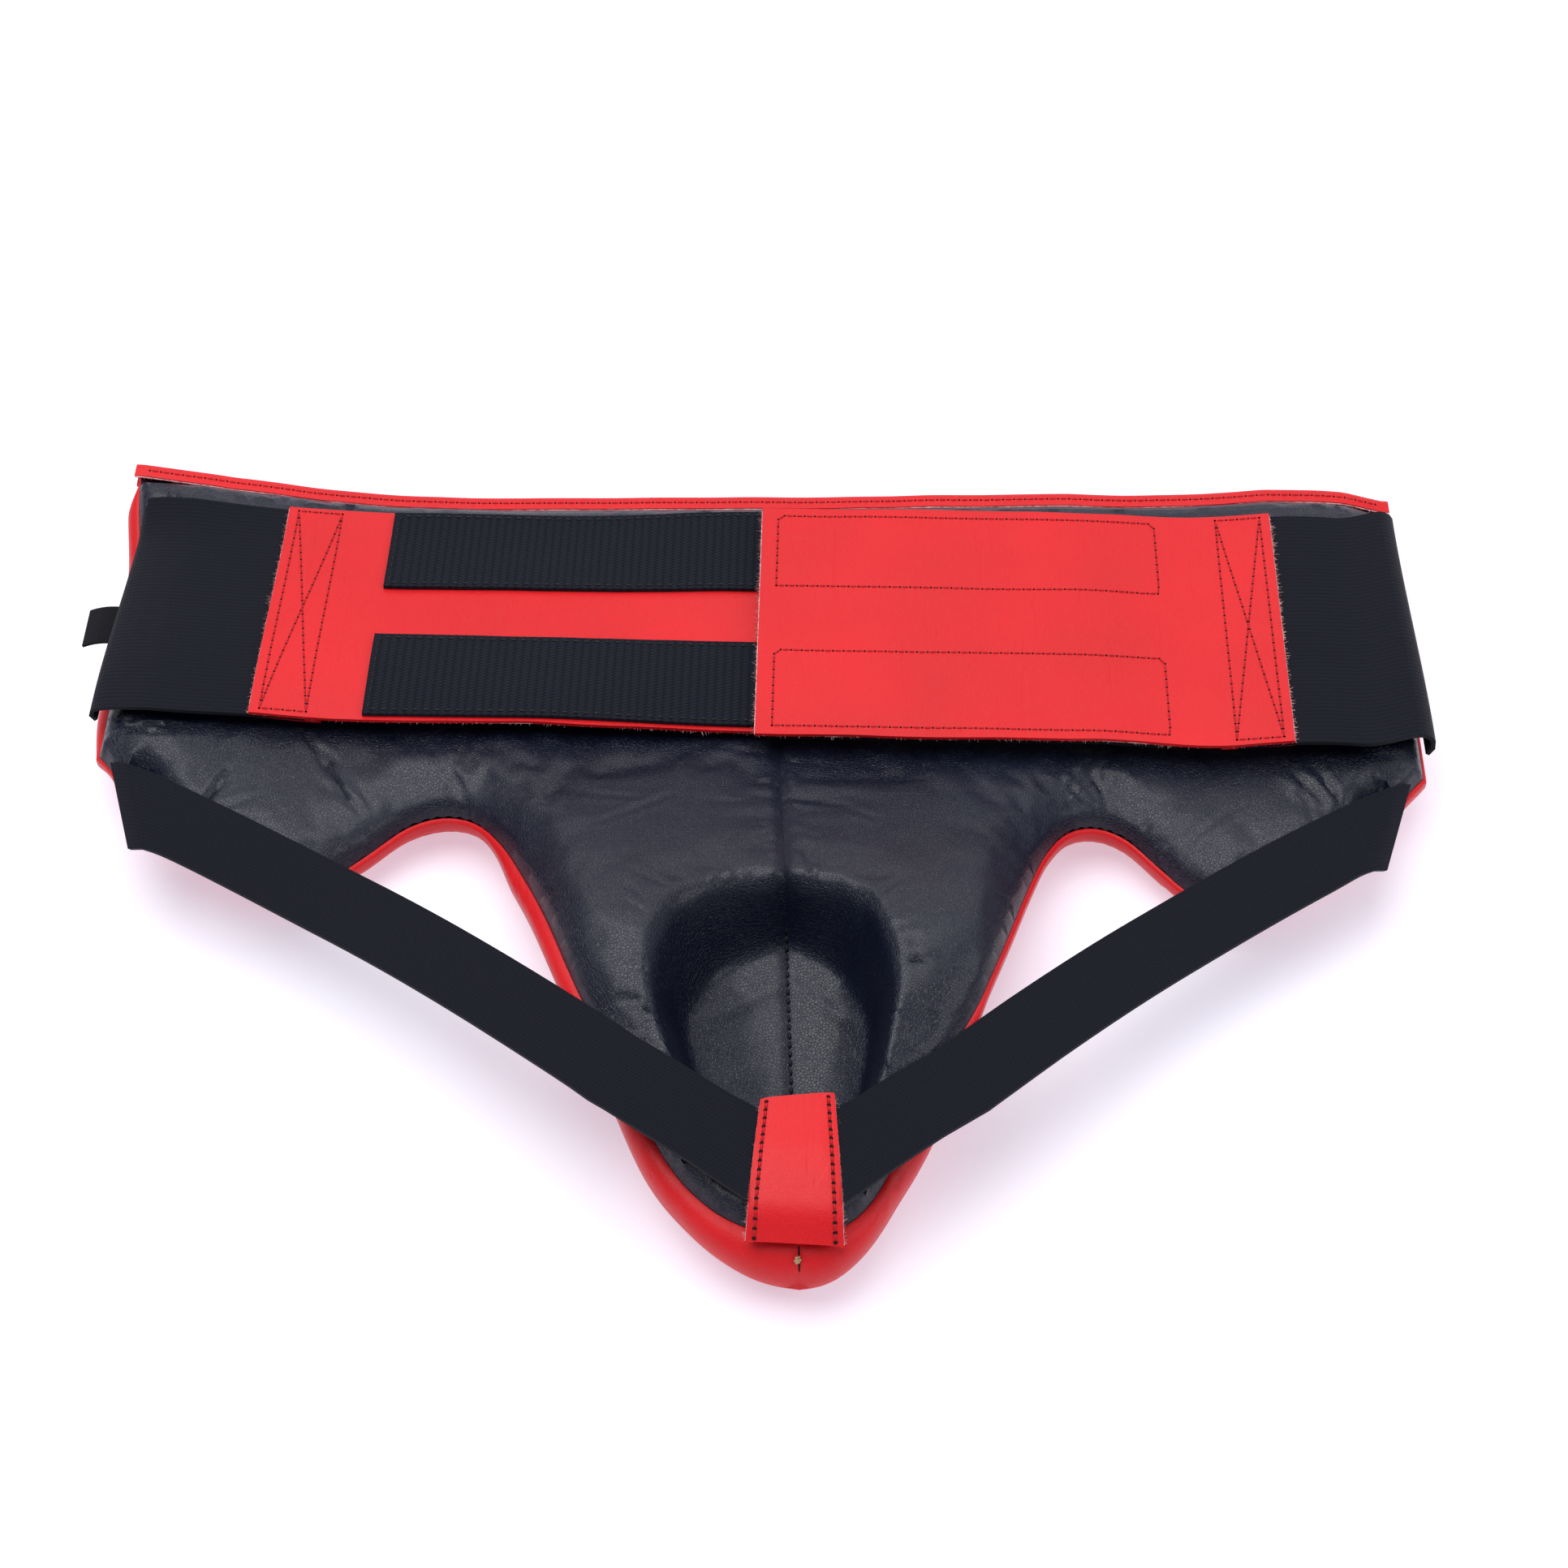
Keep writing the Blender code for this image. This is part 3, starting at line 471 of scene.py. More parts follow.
# ---------------------------------------------------------------- meshes
def grid_points(box, spacing):
    """Triangular grid of points in box, given as low x, low y, high x, high y."""
    x0, y0, x1, y1 = box
    row_gap = spacing * math.sqrt(3) / 2
    rows = np.arange(int((y1 - y0) / row_gap) + 1)
    cols = np.arange(int((x1 - x0) / spacing) + 1)
    col, row = np.meshgrid(cols, rows)
    return np.stack([x0 + (col + 0.5 * (row % 2)) * spacing, y0 + row * row_gap], -1).reshape(-1, 2)


def anywhere(x, _):
    return np.full(np.shape(x), True)


def plan_zone(y_range, spacing, wanted=anywhere):
    """A stretch of the plan for panel_plan to fill with grid points, where wanted says so."""
    return (-PLAN_HALF_X, y_range[0], PLAN_HALF_X, y_range[1]), spacing, wanted


def panel_plan(outlines, zones, clear_outline):
    """Triangulated plan: constraint lines, the centre seam, and grid points inside clear_outline."""
    low, high = CENTRE_LINE_Y
    seam = np.vstack([straight((0, low), (0, high), RIM_STEP), [(0, high)]])
    points, edges = [], []
    for line, closed in [(outline, True) for outline in outlines] + [(seam, False)]:
        start, count = len(points), len(line)
        points += [tuple(p) for p in line]
        edges += [(start + k, start + (k + 1) % count) for k in range(count if closed else count - 1)]
    taken = np.array(points)
    for box, spacing, wanted in zones:
        free = grid_points(box, spacing)
        free = free[wanted(*free.T)]
        free = free[inside_depth(*free.T, clear_outline) > 0.6 * spacing]
        free = free[np.abs(free[:, 0]) > 0.5 * spacing]
        cell = {(round(a / spacing), round(b / spacing)) for a, b in taken}
        keep = [(round(a / spacing), round(b / spacing)) not in cell for a, b in free]
        points += [tuple(p) for p in free[keep]]
    verts, _, faces, _, _, _ = delaunay_2d_cdt([Vector(p) for p in points], edges, [], 0, 1e-6)
    return np.array([tuple(v) for v in verts]), np.array([tuple(f) for f in faces])


def facing_up(plan, faces):
    """Which plan points the faces use, and the faces numbered in those and turned to face up."""
    used, faces = np.unique(faces, return_inverse=True)
    faces = faces.reshape(-1, 3)
    a, b, c = (plan[used][faces[:, k]] for k in range(3))
    turned = np.cross(b - a, c - a) < 0
    faces[turned] = faces[turned][:, ::-1]
    return used, faces


def vertex_normals(points, faces):
    a, b, c = (points[faces[:, k]] for k in range(3))
    face_normal = np.cross(b - a, c - a)
    normals = np.zeros_like(points)
    for k in range(3):
        np.add.at(normals, faces[:, k], face_normal)
    return unit(normals)


def rim_edges(faces):
    """Directed edges that only one triangle uses."""
    ends = np.concatenate([faces[:, [0, 1]], faces[:, [1, 2]], faces[:, [2, 0]]])
    directed = {tuple(e) for e in ends.tolist()}
    return [(a, b) for a, b in directed if (b, a) not in directed]


def new_object(name, points, polygons, material, smooth_angle=50):
    mesh = bpy.data.meshes.new(name)
    mesh.from_pydata(np.asarray(points).tolist(), [], polygons)
    mesh.validate()
    mesh.shade_smooth()
    mesh.set_sharp_from_angle(angle=math.radians(smooth_angle))
    obj = bpy.data.objects.new(name, mesh)
    bpy.context.scene.collection.objects.link(obj)
    obj.data.materials.append(material)
    return obj


def closed_layer(name, outer, inner, faces, material):
    """A closed shell between two faces that have the same triangles."""
    count = len(outer)
    polygons = faces.tolist() + (faces[:, ::-1] + count).tolist()
    polygons += [(b, a, a + count, b + count) for a, b in sorted(rim_edges(faces))]
    return new_object(name, np.vstack([outer, inner]), polygons, material)


def thick_sheet(name, outer, faces, thickness, material):
    """A closed skin: its outer face, and an inner face thickness behind it."""
    inner = outer - vertex_normals(outer, faces) * thickness
    return closed_layer(name, outer, inner, faces, material)


def add_uv(obj, coordinates):
    """A UV map in metres, from one pair per vertex."""
    layer = obj.data.uv_layers.new(name="cloth")
    corners = np.zeros(len(obj.data.loops), int)
    obj.data.loops.foreach_get("vertex_index", corners)
    layer.data.foreach_set("uv", np.asarray(coordinates, np.float32)[corners].ravel())


def grid_quads(rows, cols):
    """Point numbers of a grid, row by row, and the four corners of its quads."""
    index = np.arange(rows * cols).reshape(rows, cols)
    corners = index[:-1, :-1], index[1:, :-1], index[1:, 1:], index[:-1, 1:]
    return index, [corner.ravel() for corner in corners]


def lengths_along(points):
    """How far along a polyline each of its points lies."""
    return np.concatenate([[0], np.cumsum(np.linalg.norm(np.diff(points, axis=0), axis=1))])


def ribbon(name, grid, thickness, material):
    """A closed strip of even thickness round a grid of middle points, lengthwise by crosswise."""
    grid = np.asarray(grid, float)
    along, across = np.gradient(grid, axis=0), np.gradient(grid, axis=1)
    normal = unit(np.cross(along, across))
    rows, cols = grid.shape[:2]
    half = thickness / 2
    points = np.vstack([(grid + normal * half).reshape(-1, 3), (grid - normal * half).reshape(-1, 3)])
    count = rows * cols
    index, corners = grid_quads(rows, cols)
    polygons = np.stack(corners, 1).tolist() + (np.stack(corners[::-1], 1) + count).tolist()
    loop = [*index[0, :], *index[1:, -1], *index[-1, -2::-1], *index[-2:0:-1, 0]]
    polygons += [(p, q, q + count, p + count) for p, q in zip(loop, loop[1:] + loop[:1])]
    obj = new_object(name, points, [[int(i) for i in f] for f in polygons], material, 40)
    u, v = lengths_along(grid[:, cols // 2]), lengths_along(grid[0])
    uv = np.stack(np.meshgrid(u, v, indexing="ij"), -1).reshape(-1, 2)
    add_uv(obj, np.vstack([uv, uv]))
    return obj


# ---------------------------------------------------------------- materials
def node(tree, kind, inputs=None, **settings):
    """A new shader node, its inputs linked to sockets or set to values."""
    made = tree.nodes.new(f"ShaderNode{kind}")
    for key, value in settings.items():
        setattr(made, key, value)
    for key, value in (inputs or {}).items():
        if isinstance(value, bpy.types.NodeSocket):
            tree.links.new(value, made.inputs[key])
        else:
            made.inputs[key].default_value = value
    return made


def new_material(name, values):
    """A material, its node tree and its shader, with constant values set on the shader's sockets."""
    made = bpy.data.materials.new(name)
    made.use_nodes = True
    shader = made.node_tree.nodes["Principled BSDF"]
    for key, value in values.items():
        shader.inputs[key].default_value = value
    return made, made.node_tree, shader


def math_node(tree, operation, a, b=0.0):
    return node(tree, "Math", {0: a, 1: b}, operation=operation).outputs[0]


def scaled(tree, vector, factors):
    return node(tree, "VectorMath", {0: vector, 1: factors}, operation="MULTIPLY").outputs[0]


def weighted(tree, base, extra, weight):
    """base plus extra times weight."""
    return math_node(tree, "ADD", base, math_node(tree, "MULTIPLY", extra, weight))


def cloudy(tree, where, scale, detail, output=0, distortion=0.0):
    inputs = {"Vector": where, "Scale": scale, "Detail": detail, "Distortion": distortion}
    return node(tree, "TexNoise", inputs).outputs[output]


def carried(tree, value, start, end, low=0.0, high=1.0, kind="LINEAR"):
    """value, with start to end carried to low to high."""
    inputs = {0: value, 1: start, 2: end, 3: low, 4: high}
    return node(tree, "MapRange", inputs, interpolation_type=kind).outputs[0]


def tint(tree, shader, value, start, dark, end, light):
    """Colours the surface: dark where value is start, light where it is end."""
    ramp_node = node(tree, "ValToRGB", {"Fac": value})
    first, last = ramp_node.color_ramp.elements
    first.position, first.color = start, (*dark, 1.0)
    last.position, last.color = end, (*light, 1.0)
    tree.links.new(ramp_node.outputs["Color"], shader.inputs["Base Color"])


def emboss(tree, shader, height, strength, distance):
    bump = node(tree, "Bump", {"Strength": strength, "Distance": distance, "Height": height})
    tree.links.new(bump.outputs[0], shader.inputs["Normal"])


def leather(name, dark, light, roughness, grain, coat, pores, specular, streaks=0.0):
    """Grained leather: a pebbled bump of fine cells, cloudy colour and uneven gloss."""
    values = {"Coat Weight": coat, "Coat Roughness": 0.22, "Specular IOR Level": specular}
    made, tree, shader = new_material(name, values)
    where = node(tree, "TexCoord").outputs["Object"]
    cloud = cloudy(tree, where, 22.0, 5.0)
    tint(tree, shader, cloud, 0.3, dark, 0.72, light)
    warp = scaled(tree, cloudy(tree, where, 420.0, 2.0, "Color"), (0.0011,) * 3)
    moved = node(tree, "VectorMath", {0: where, 1: warp}, operation="ADD").outputs[0]
    cells = node(tree, "TexVoronoi", {"Vector": moved, "Scale": grain}, feature="DISTANCE_TO_EDGE")
    height = carried(tree, cells.outputs["Distance"], 0.0, 0.16, kind="SMOOTHSTEP")
    height = weighted(tree, height, cloudy(tree, where, 1900.0, 2.0), 0.7)
    height = weighted(tree, height, cloudy(tree, where, 95.0, 4.0), 2.2)
    if streaks:
        drawn = scaled(tree, where, (1.0, 0.16, 1.0))
        folds_seen = cloudy(tree, drawn, 130.0, 3.0, distortion=0.6)
        height = weighted(tree, height, carried(tree, folds_seen, 0.60, 0.74, kind="SMOOTHSTEP"), -streaks)
    emboss(tree, shader, height, 0.55, pores)
    rough = carried(tree, cloud, 0.3, 0.7, roughness - 0.05, roughness + 0.07)
    tree.links.new(rough, shader.inputs["Roughness"])
    return made


def woven(name, dark, light, rib, pick, roughness=0.8, depth=0.00022, zigzag=0.0, turned=False):
    """Narrow fabric from its UV map in metres: ribs along it, picks across, and slight fuzz. Its colour
    follows the weave's relief: painted shade in the hollows and painted light on the ridges.
    """
    fuzz = {"Sheen Weight": 0.06, "Sheen Roughness": 0.5}
    made, tree, shader = new_material(name, {"Roughness": roughness, "Specular IOR Level": 0.12, **fuzz})
    where = node(tree, "UVMap", uv_map="cloth").outputs[0]
    split = node(tree, "SeparateXYZ", {0: where})
    u, v = split.outputs[int(turned)], split.outputs[1 - int(turned)]
    across = math_node(tree, "MULTIPLY", v, 2 * math.pi / rib)
    along = math_node(tree, "MULTIPLY", u, 2 * math.pi / pick)
    shifted = weighted(tree, along, across, zigzag)
    wave = math_node(tree, "MULTIPLY", math_node(tree, "SINE", across), math_node(tree, "SINE", shifted))
    rows = math_node(tree, "ABSOLUTE", math_node(tree, "SINE", math_node(tree, "MULTIPLY", across, 0.5)))
    height = weighted(tree, rows, wave, 0.5)
    height = weighted(tree, height, cloudy(tree, where, 900.0, 2.0), 0.9)
    emboss(tree, shader, height, 0.8, depth)
    # Painted shade and light: the colour is darker in the weave's hollows and lighter on its ridges.
    tint(tree, shader, carried(tree, height, 0.2, 1.9), 0.0, dark, 1.0, light)
    return made


def plain(name, dark, light, roughness, scale=60.0, depth=0.0002, sheen=0.0):
    """A matt material with noisy colour and bump, for foam, thread, fibres and moulded plastic."""
    values = {"Roughness": roughness, "Sheen Weight": sheen, "Specular IOR Level": 0.3}
    made, tree, shader = new_material(name, values)
    spots = cloudy(tree, node(tree, "TexCoord").outputs["Object"], scale, 4.0)
    tint(tree, shader, spots, 0.35, dark, 0.65, light)
    emboss(tree, shader, spots, 0.5, depth)
    return made


RED = leather(
    "red_leather", (0.58, 0.004, 0.007), (0.67, 0.007, 0.011),
    roughness=0.42, grain=1250.0, coat=0.04, pores=0.00007, specular=0.30, streaks=3.5,
)
BLACK = leather(
    "black_leather", (0.0014, 0.0030, 0.0120), (0.0026, 0.0052, 0.0175),
    roughness=0.33, grain=1050.0, coat=0.14, pores=0.00020, specular=0.40,
)
# In each woven material the first colour is painted shade in the weave's hollows and the second is painted
# light on its ridges.
ELASTIC = woven(
    "black_elastic", (0.0030, 0.0038, 0.0076), (0.0056, 0.0068, 0.0122),
    rib=0.0017, pick=0.0013, depth=0.00010, zigzag=0.6,
)
LOOP = woven(
    "black_loop", (0.0012, 0.0018, 0.0050), (0.0075, 0.0095, 0.0185),
    rib=0.0029, pick=0.0014, depth=0.00030, zigzag=0.35, turned=True,
)
HOOK = woven("black_hook", (0.0015, 0.0016, 0.0020), (0.0120, 0.0130, 0.0160), 0.0016, 0.0016, 0.6)
LABEL = woven("label_cloth", (0.002, 0.002, 0.003), (0.012, 0.012, 0.016), 0.0004, 0.0004, depth=0.0001)
THREAD = plain("dark_red_thread", (0.36, 0.004, 0.007), (0.48, 0.007, 0.011), 0.6, 900.0, 0.0001)
BLACK_THREAD = plain("black_thread", (0.002, 0.002, 0.003), (0.008, 0.008, 0.010), 0.55, 900.0, 0.0001)
# Near-black discs over the needle holes: painted shade in the holes. The crotch seam's dark line is drawn in
# it too.
HOLE = plain("stitch_hole", (0.004, 0.0005, 0.0005), (0.010, 0.001, 0.001), 0.9)
FIBRE = plain("raw_fibre", (0.50, 0.20, 0.20), (0.85, 0.60, 0.58), 0.9, 700.0, sheen=0.3)
TAN = plain("tan_thread", (0.35, 0.20, 0.10), (0.55, 0.36, 0.20), 0.7, 900.0)
SOFT_FOAM = plain("soft_foam", (0.60, 0.56, 0.45), (0.80, 0.77, 0.66), 0.95, 700.0, 0.0004)
DENSE_FOAM = plain("dense_foam", (0.018, 0.018, 0.020), (0.040, 0.040, 0.044), 0.95, 500.0, 0.0003)
CUP_PLASTIC = plain("cup_plastic", (0.52, 0.53, 0.55), (0.62, 0.63, 0.66), 0.40, 30.0, 0.0001)


# ---------------------------------------------------------------- padded panel
def lining():
    """Both halves of the black lining, with the cup's hollow, the centre seam and all creases."""
    outline = mirrored(panel_half(TOP_Y, RIM_STEP))
    rims = [offset_mouth(d) for d in (-0.002, 0.004)]
    zones = (
        plan_zone(SEEN_ZONE_Y, VISIBLE_SPACING, lambda x, y: y < HIDDEN_Y),
        plan_zone(BELT_ZONE_Y, HIDDEN_SPACING, lambda x, y: (y >= HIDDEN_Y) & (np.abs(x) < HIDDEN_X)),
        plan_zone(BELT_ZONE_Y, VISIBLE_SPACING, lambda x, y: (y >= HIDDEN_Y) & (np.abs(x) >= HIDDEN_X)),
    )
    plan, faces = panel_plan([outline, *rims], zones, outline)
    centre = plan[faces].mean(axis=1)
    inside = inside_depth(*centre.T, outline) > 0
    swell = cloth_swell()
    for side, sign in SIDES.items():
        used, part_faces = facing_up(plan, faces[inside & (sign * centre[:, 0] > 0)])
        x, y = plan[used].T
        depth, mouth, z = lining_base(x, y)
        added = creases(x, y, np.maximum(depth, 0), mouth)
        if swell is not None:
            added = added + sampled(swell, x, y)
        free = 1 - TAB_CALM * (1 - ramp(np.abs(x), TAB_CALM_X)) * ramp(y, TAB_CALM_Y)
        room = BELT_ROOM * (1 - BELT_ROOM_LOSS * ramp(np.abs(x), BELT_ROOM_LOSS_X))
        room = room + CLOTH_CAP * (1 - ramp(y, BELT_COVERS_Y))
        added = np.where(y > BELT_COVERS_Y[0], np.minimum(added, room), added) * free
        z = pressed(x, y, z + added, STRAP_TOUCH)
        skin = thick_sheet(f"lining_skin_{side}", place(x, y, z), part_faces, LINING, BLACK)
        finish_piece(skin, "root", [f"lining_{side}"])


def lining_base(x, y):
    """Depth inside the padding and the cup's mouth, and the lining's height before it creases."""
    depth, mouth = inside_depth(x, y, PAD_OUTLINE), inside_depth(x, y, MOUTH_OUTLINE)
    return depth, mouth, lining_height(x, y, depth, mouth)


# The lining is blown up as cloth that is a little too large, sewn down at the hem, seam and cup.
CLOTH_SPACING = 0.0027
CLOTH_ZONE_Y = (-0.180, 0.060)
CLOTH_GRID_Y = 0.058
CLOTH_TOP_Y = 0.062
CLOTH_FRAMES = 20
CLOTH_SETTINGS = {
    "quality": 6, "mass": 0.20, "tension_stiffness": 30.0, "compression_stiffness": 30.0,
    "shear_stiffness": 10.0, "bending_stiffness": 1.5, "shrink_min": -0.007,
    "use_pressure": True, "uniform_pressure_force": 4.0, "vertex_group_mass": "pins",
}
PINNED_HEM = 0.0015
PINNED_SEAM_X = 0.0016
PINNED_MOUTH = 0.006
PINNED_Y = 0.056
CLOTH_CAP = 0.0016
CLOTH_SINK = -0.0009
CLOTH_FADE_Y = (0.040, 0.055)
# How close the lining comes below the leg straps, and how high its creases reach under the belt.
STRAP_TOUCH = 0.0006
BELT_COVERS_Y = (0.022, 0.036)
BELT_ROOM = 0.0010
BELT_ROOM_LOSS = 0.6
BELT_ROOM_LOSS_X = (0.185, 0.205)
# The share of the creases' height that is lost under the crotch tab.
TAB_CALM = 0.85
TAB_CALM_X = (0.014, 0.020)
TAB_CALM_Y = (-0.112, -0.120)


def cloth_swell():
    """Simulated rise of the lining: panel points and how far each one moved up."""
    outline = mirrored(panel_half(TOP_Y, RIM_STEP * 1.4))
    zones = [plan_zone(CLOTH_ZONE_Y, CLOTH_SPACING, lambda x, y: y < CLOTH_GRID_Y)]
    plan, faces = panel_plan([outline, offset_mouth(-0.001)[::2]], zones, outline)
    centre = plan[faces].mean(axis=1)
    inside = inside_depth(*centre.T, outline) > 0
    used, faces = facing_up(plan, faces[inside & (centre[:, 1] < CLOTH_TOP_Y)])
    x, y = plan[used].T
    depth, mouth, z = lining_base(x, y)
    start = np.stack([x, y, z + 0.0002 * wander(plan_points(x, y), 0.008, 51.0)], 1)
    sheet = new_object("lining_cloth", start, faces.tolist(), BLACK)
    pins = sheet.vertex_groups.new(name="pins")
    held = (depth < PINNED_HEM) | (np.abs(x) < PINNED_SEAM_X) | (y > PINNED_Y) | (mouth > PINNED_MOUTH)
    pins.add(np.flatnonzero(held).tolist(), 1.0, "REPLACE")
    cloth = sheet.modifiers.new("cloth", "CLOTH")
    for key, value in CLOTH_SETTINGS.items():
        setattr(cloth.settings, key, value)
    cloth.settings.effector_weights.gravity = 0.0
    scene = bpy.context.scene
    scene.frame_start, scene.frame_end = 1, CLOTH_FRAMES
    cloth.point_cache.frame_start, cloth.point_cache.frame_end = 1, CLOTH_FRAMES
    for number in range(1, CLOTH_FRAMES + 1):
        scene.frame_set(number)
    moved = sheet.evaluated_get(bpy.context.evaluated_depsgraph_get()).to_mesh()
    ended = np.zeros(len(x) * 3)
    moved.vertices.foreach_get("co", ended)
    rise = ended.reshape(-1, 3)[:, 2] - z
    scene.frame_set(1)
    bpy.data.objects.remove(sheet)
    tree = kdtree.KDTree(len(x))
    for k, (px, py) in enumerate(zip(x, y)):
        tree.insert((px, py, 0.0), k)
    tree.balance()
    return tree, np.maximum(CLOTH_CAP * np.tanh(rise / CLOTH_CAP), CLOTH_SINK)


def sampled(field, x, y):
    """Values of a scattered field at plan points, from the three nearest samples."""
    tree, values = field
    found = []
    for px, py in zip(x, y):
        near = tree.find_n((px, py, 0.0), 3)
        weights = [1.0 / (distance + 0.0004) ** 2 for _, _, distance in near]
        found.append(sum(w * values[k] for w, (_, k, _) in zip(weights, near)) / sum(weights))
    return np.array(found) * (1 - ramp(y, CLOTH_FADE_Y))


def offset_mouth(distance):
    """The cup mouth's outline, moved inward by distance, or outward by a negative one."""
    outline = mirrored(curve_through(CUP_MOUTH, RIM_STEP))
    run = np.roll(outline, -1, axis=0) - np.roll(outline, 1, axis=0)
    return outline - left_of(run) * distance


SEAM_GROOVE = 0.0014
SEAM_GROOVE_HALF = 0.0012
EDGE_GROOVE_HALF = 0.0015
# Stations of the cover's rolled edge, from the seam (0) out to its rim (1).
ROLL_STATIONS = (0.0, 0.06, 0.18, 0.36, 0.56, 0.74, 0.88, 0.965, 1.0)


def cover():
    """Both halves of the red front cover: the rolled edge outside the seam, and the domed front."""
    seam_line = mirrored(panel_half(TOP_Y, RIM_STEP))
    plan, faces = panel_plan([seam_line], [plan_zone(COVER_ZONE_Y, HIDDEN_SPACING)], seam_line)
    centre = plan[faces].mean(axis=1)
    inside = inside_depth(*centre.T, seam_line) > 0
    for side, sign in SIDES.items():
        used, part_faces = facing_up(plan, faces[inside & (sign * centre[:, 0] > 0)])
        x, y = plan[used].T
        z = cover_height(x, y, inside_depth(x, y, PAD_OUTLINE)) + cover_creases(x, y)
        bottom = place(x, y, z)
        rim_line = mirrored(panel_half(TOP_Y, RIM_STEP, lambda px, py: cover_bulge(sign * px, py)))
        loft, loft_faces = rolled_edge(seam_line, rim_line, sign)
        points = np.vstack([bottom, loft])
        triangles = np.vstack([part_faces[:, ::-1], loft_faces + len(bottom)])
        points, triangles = welded(points, triangles)
        skin = thick_sheet(f"cover_skin_{side}", points, triangles, COVER, RED)
        finish_piece(skin, "root", [f"outer_cover_{side}"])


def cover_creases(x, y):
    """Height that the centre seam's groove and soft unevenness add to the front."""
    points = plan_points(x, y)
    groove = SEAM_GROOVE * hump(x, SEAM_GROOVE_HALF) * (y < 0.15)
    soft = 0.0008 * wander(points, 0.045, 11.0) + 0.0003 * wander(points, 0.015, 12.0)
    rests = seam_height(x, y) - FRONT_CROWN < 0.001
    return groove + np.where(rests, np.abs(soft) * 0.3, soft)


def rolled_edge(seam_line, rim_line, sign):
    """Points and triangles of one half of the cover's edge: from the seam, round the rim, under."""
    half = (len(seam_line) // 2) + 1
    order = np.arange(half) if sign > 0 else (-np.arange(half)) % len(seam_line)
    seam_line, rim_line = seam_line[order], rim_line[order]
    rows = []
    for share in ROLL_STATIONS:
        plan = seam_line + (rim_line - seam_line) * share
        x, y = plan.T
        bulge = cover_bulge(*seam_line.T)
        top = seam_height(*seam_line.T) - roll_drop(bulge, share)
        groove = SEAM_GROOVE * hump(seam_line[:, 0], EDGE_GROOVE_HALF) * (y < 0) * share
        rows.append(place(x, y + groove, top + edge_creases(x, y) * share - groove))
    for share in ROLL_STATIONS[-2::-1]:
        plan = seam_line + (rim_line - seam_line) * share
        x, y = plan.T
        depth = inside_depth(*seam_line.T, PAD_OUTLINE) * (1 - share)
        low = cover_height(x, y, np.where(share > 0, -cover_bulge(x, y) * share, depth))
        rows.append(place(x, y, low + (cover_creases(x, y) if share == 0 else 0.0)))
    points = np.array(rows)
    a, b, c, d = grid_quads(*points.shape[:2])[1]
    triangles = np.vstack([np.stack([a, b, c], 1), np.stack([a, c, d], 1)])
    return points.reshape(-1, 3), triangles if sign > 0 else triangles[:, ::-1]


def roll_drop(bulge, share):
    """How far below the seam the rolled edge is, at a share of the way out to its rim."""
    return ROLL * bulge * (1 - np.sqrt(1 - share**2))


def edge_creases(x, y):
    """Fine folds on the cover's rolled edge round the crotch."""
    points = plan_points(x, y)
    uneven = 0.5 + 0.5 * wander(points, 0.013, 15.0)
    fine = folds(x * 2 * math.pi / 0.0058, points, 1.4, 14.0)
    return 0.0008 * ramp(y, (-0.04, -0.12)) * uneven * fine


def welded(points, triangles, step=1e-5):
    """Merges points that coincide and drops triangles that collapse."""
    _, first, inverse = np.unique(np.round(points / step), axis=0, return_index=True, return_inverse=True)
    triangles = inverse.reshape(-1)[triangles]
    a, b, c = triangles.T
    return points[first], triangles[(a != b) & (b != c) & (a != c)]


# ---------------------------------------------------------------- inside the padding
SKIN_CLEAR = 0.0032
INNER_SPACING = 0.0060
SOFT_SHARE = 0.45
CUP_WALL = 0.0025
FLANGE = 0.0045
CUSHION_REACH = 0.0095
WING_SPLIT_X = 0.118
FOAM_INSET = 0.006
FOAM_GAP = 0.0006
CUP_FOAM = 0.0025
CUSHION = 0.008
PAD_GAP = 0.0004
# The thinnest that the two foams together, the cup with its pad, and any one layer get.
LEAST_FOAM = 0.004
LEAST_PAD = 0.0008
LEAST_LAYER = 0.0005
# Layers are thicker in height where the cup's wall is steep: how much, where inside its mouth, how far.
STEEP = (1.2, 0.003, 0.006)


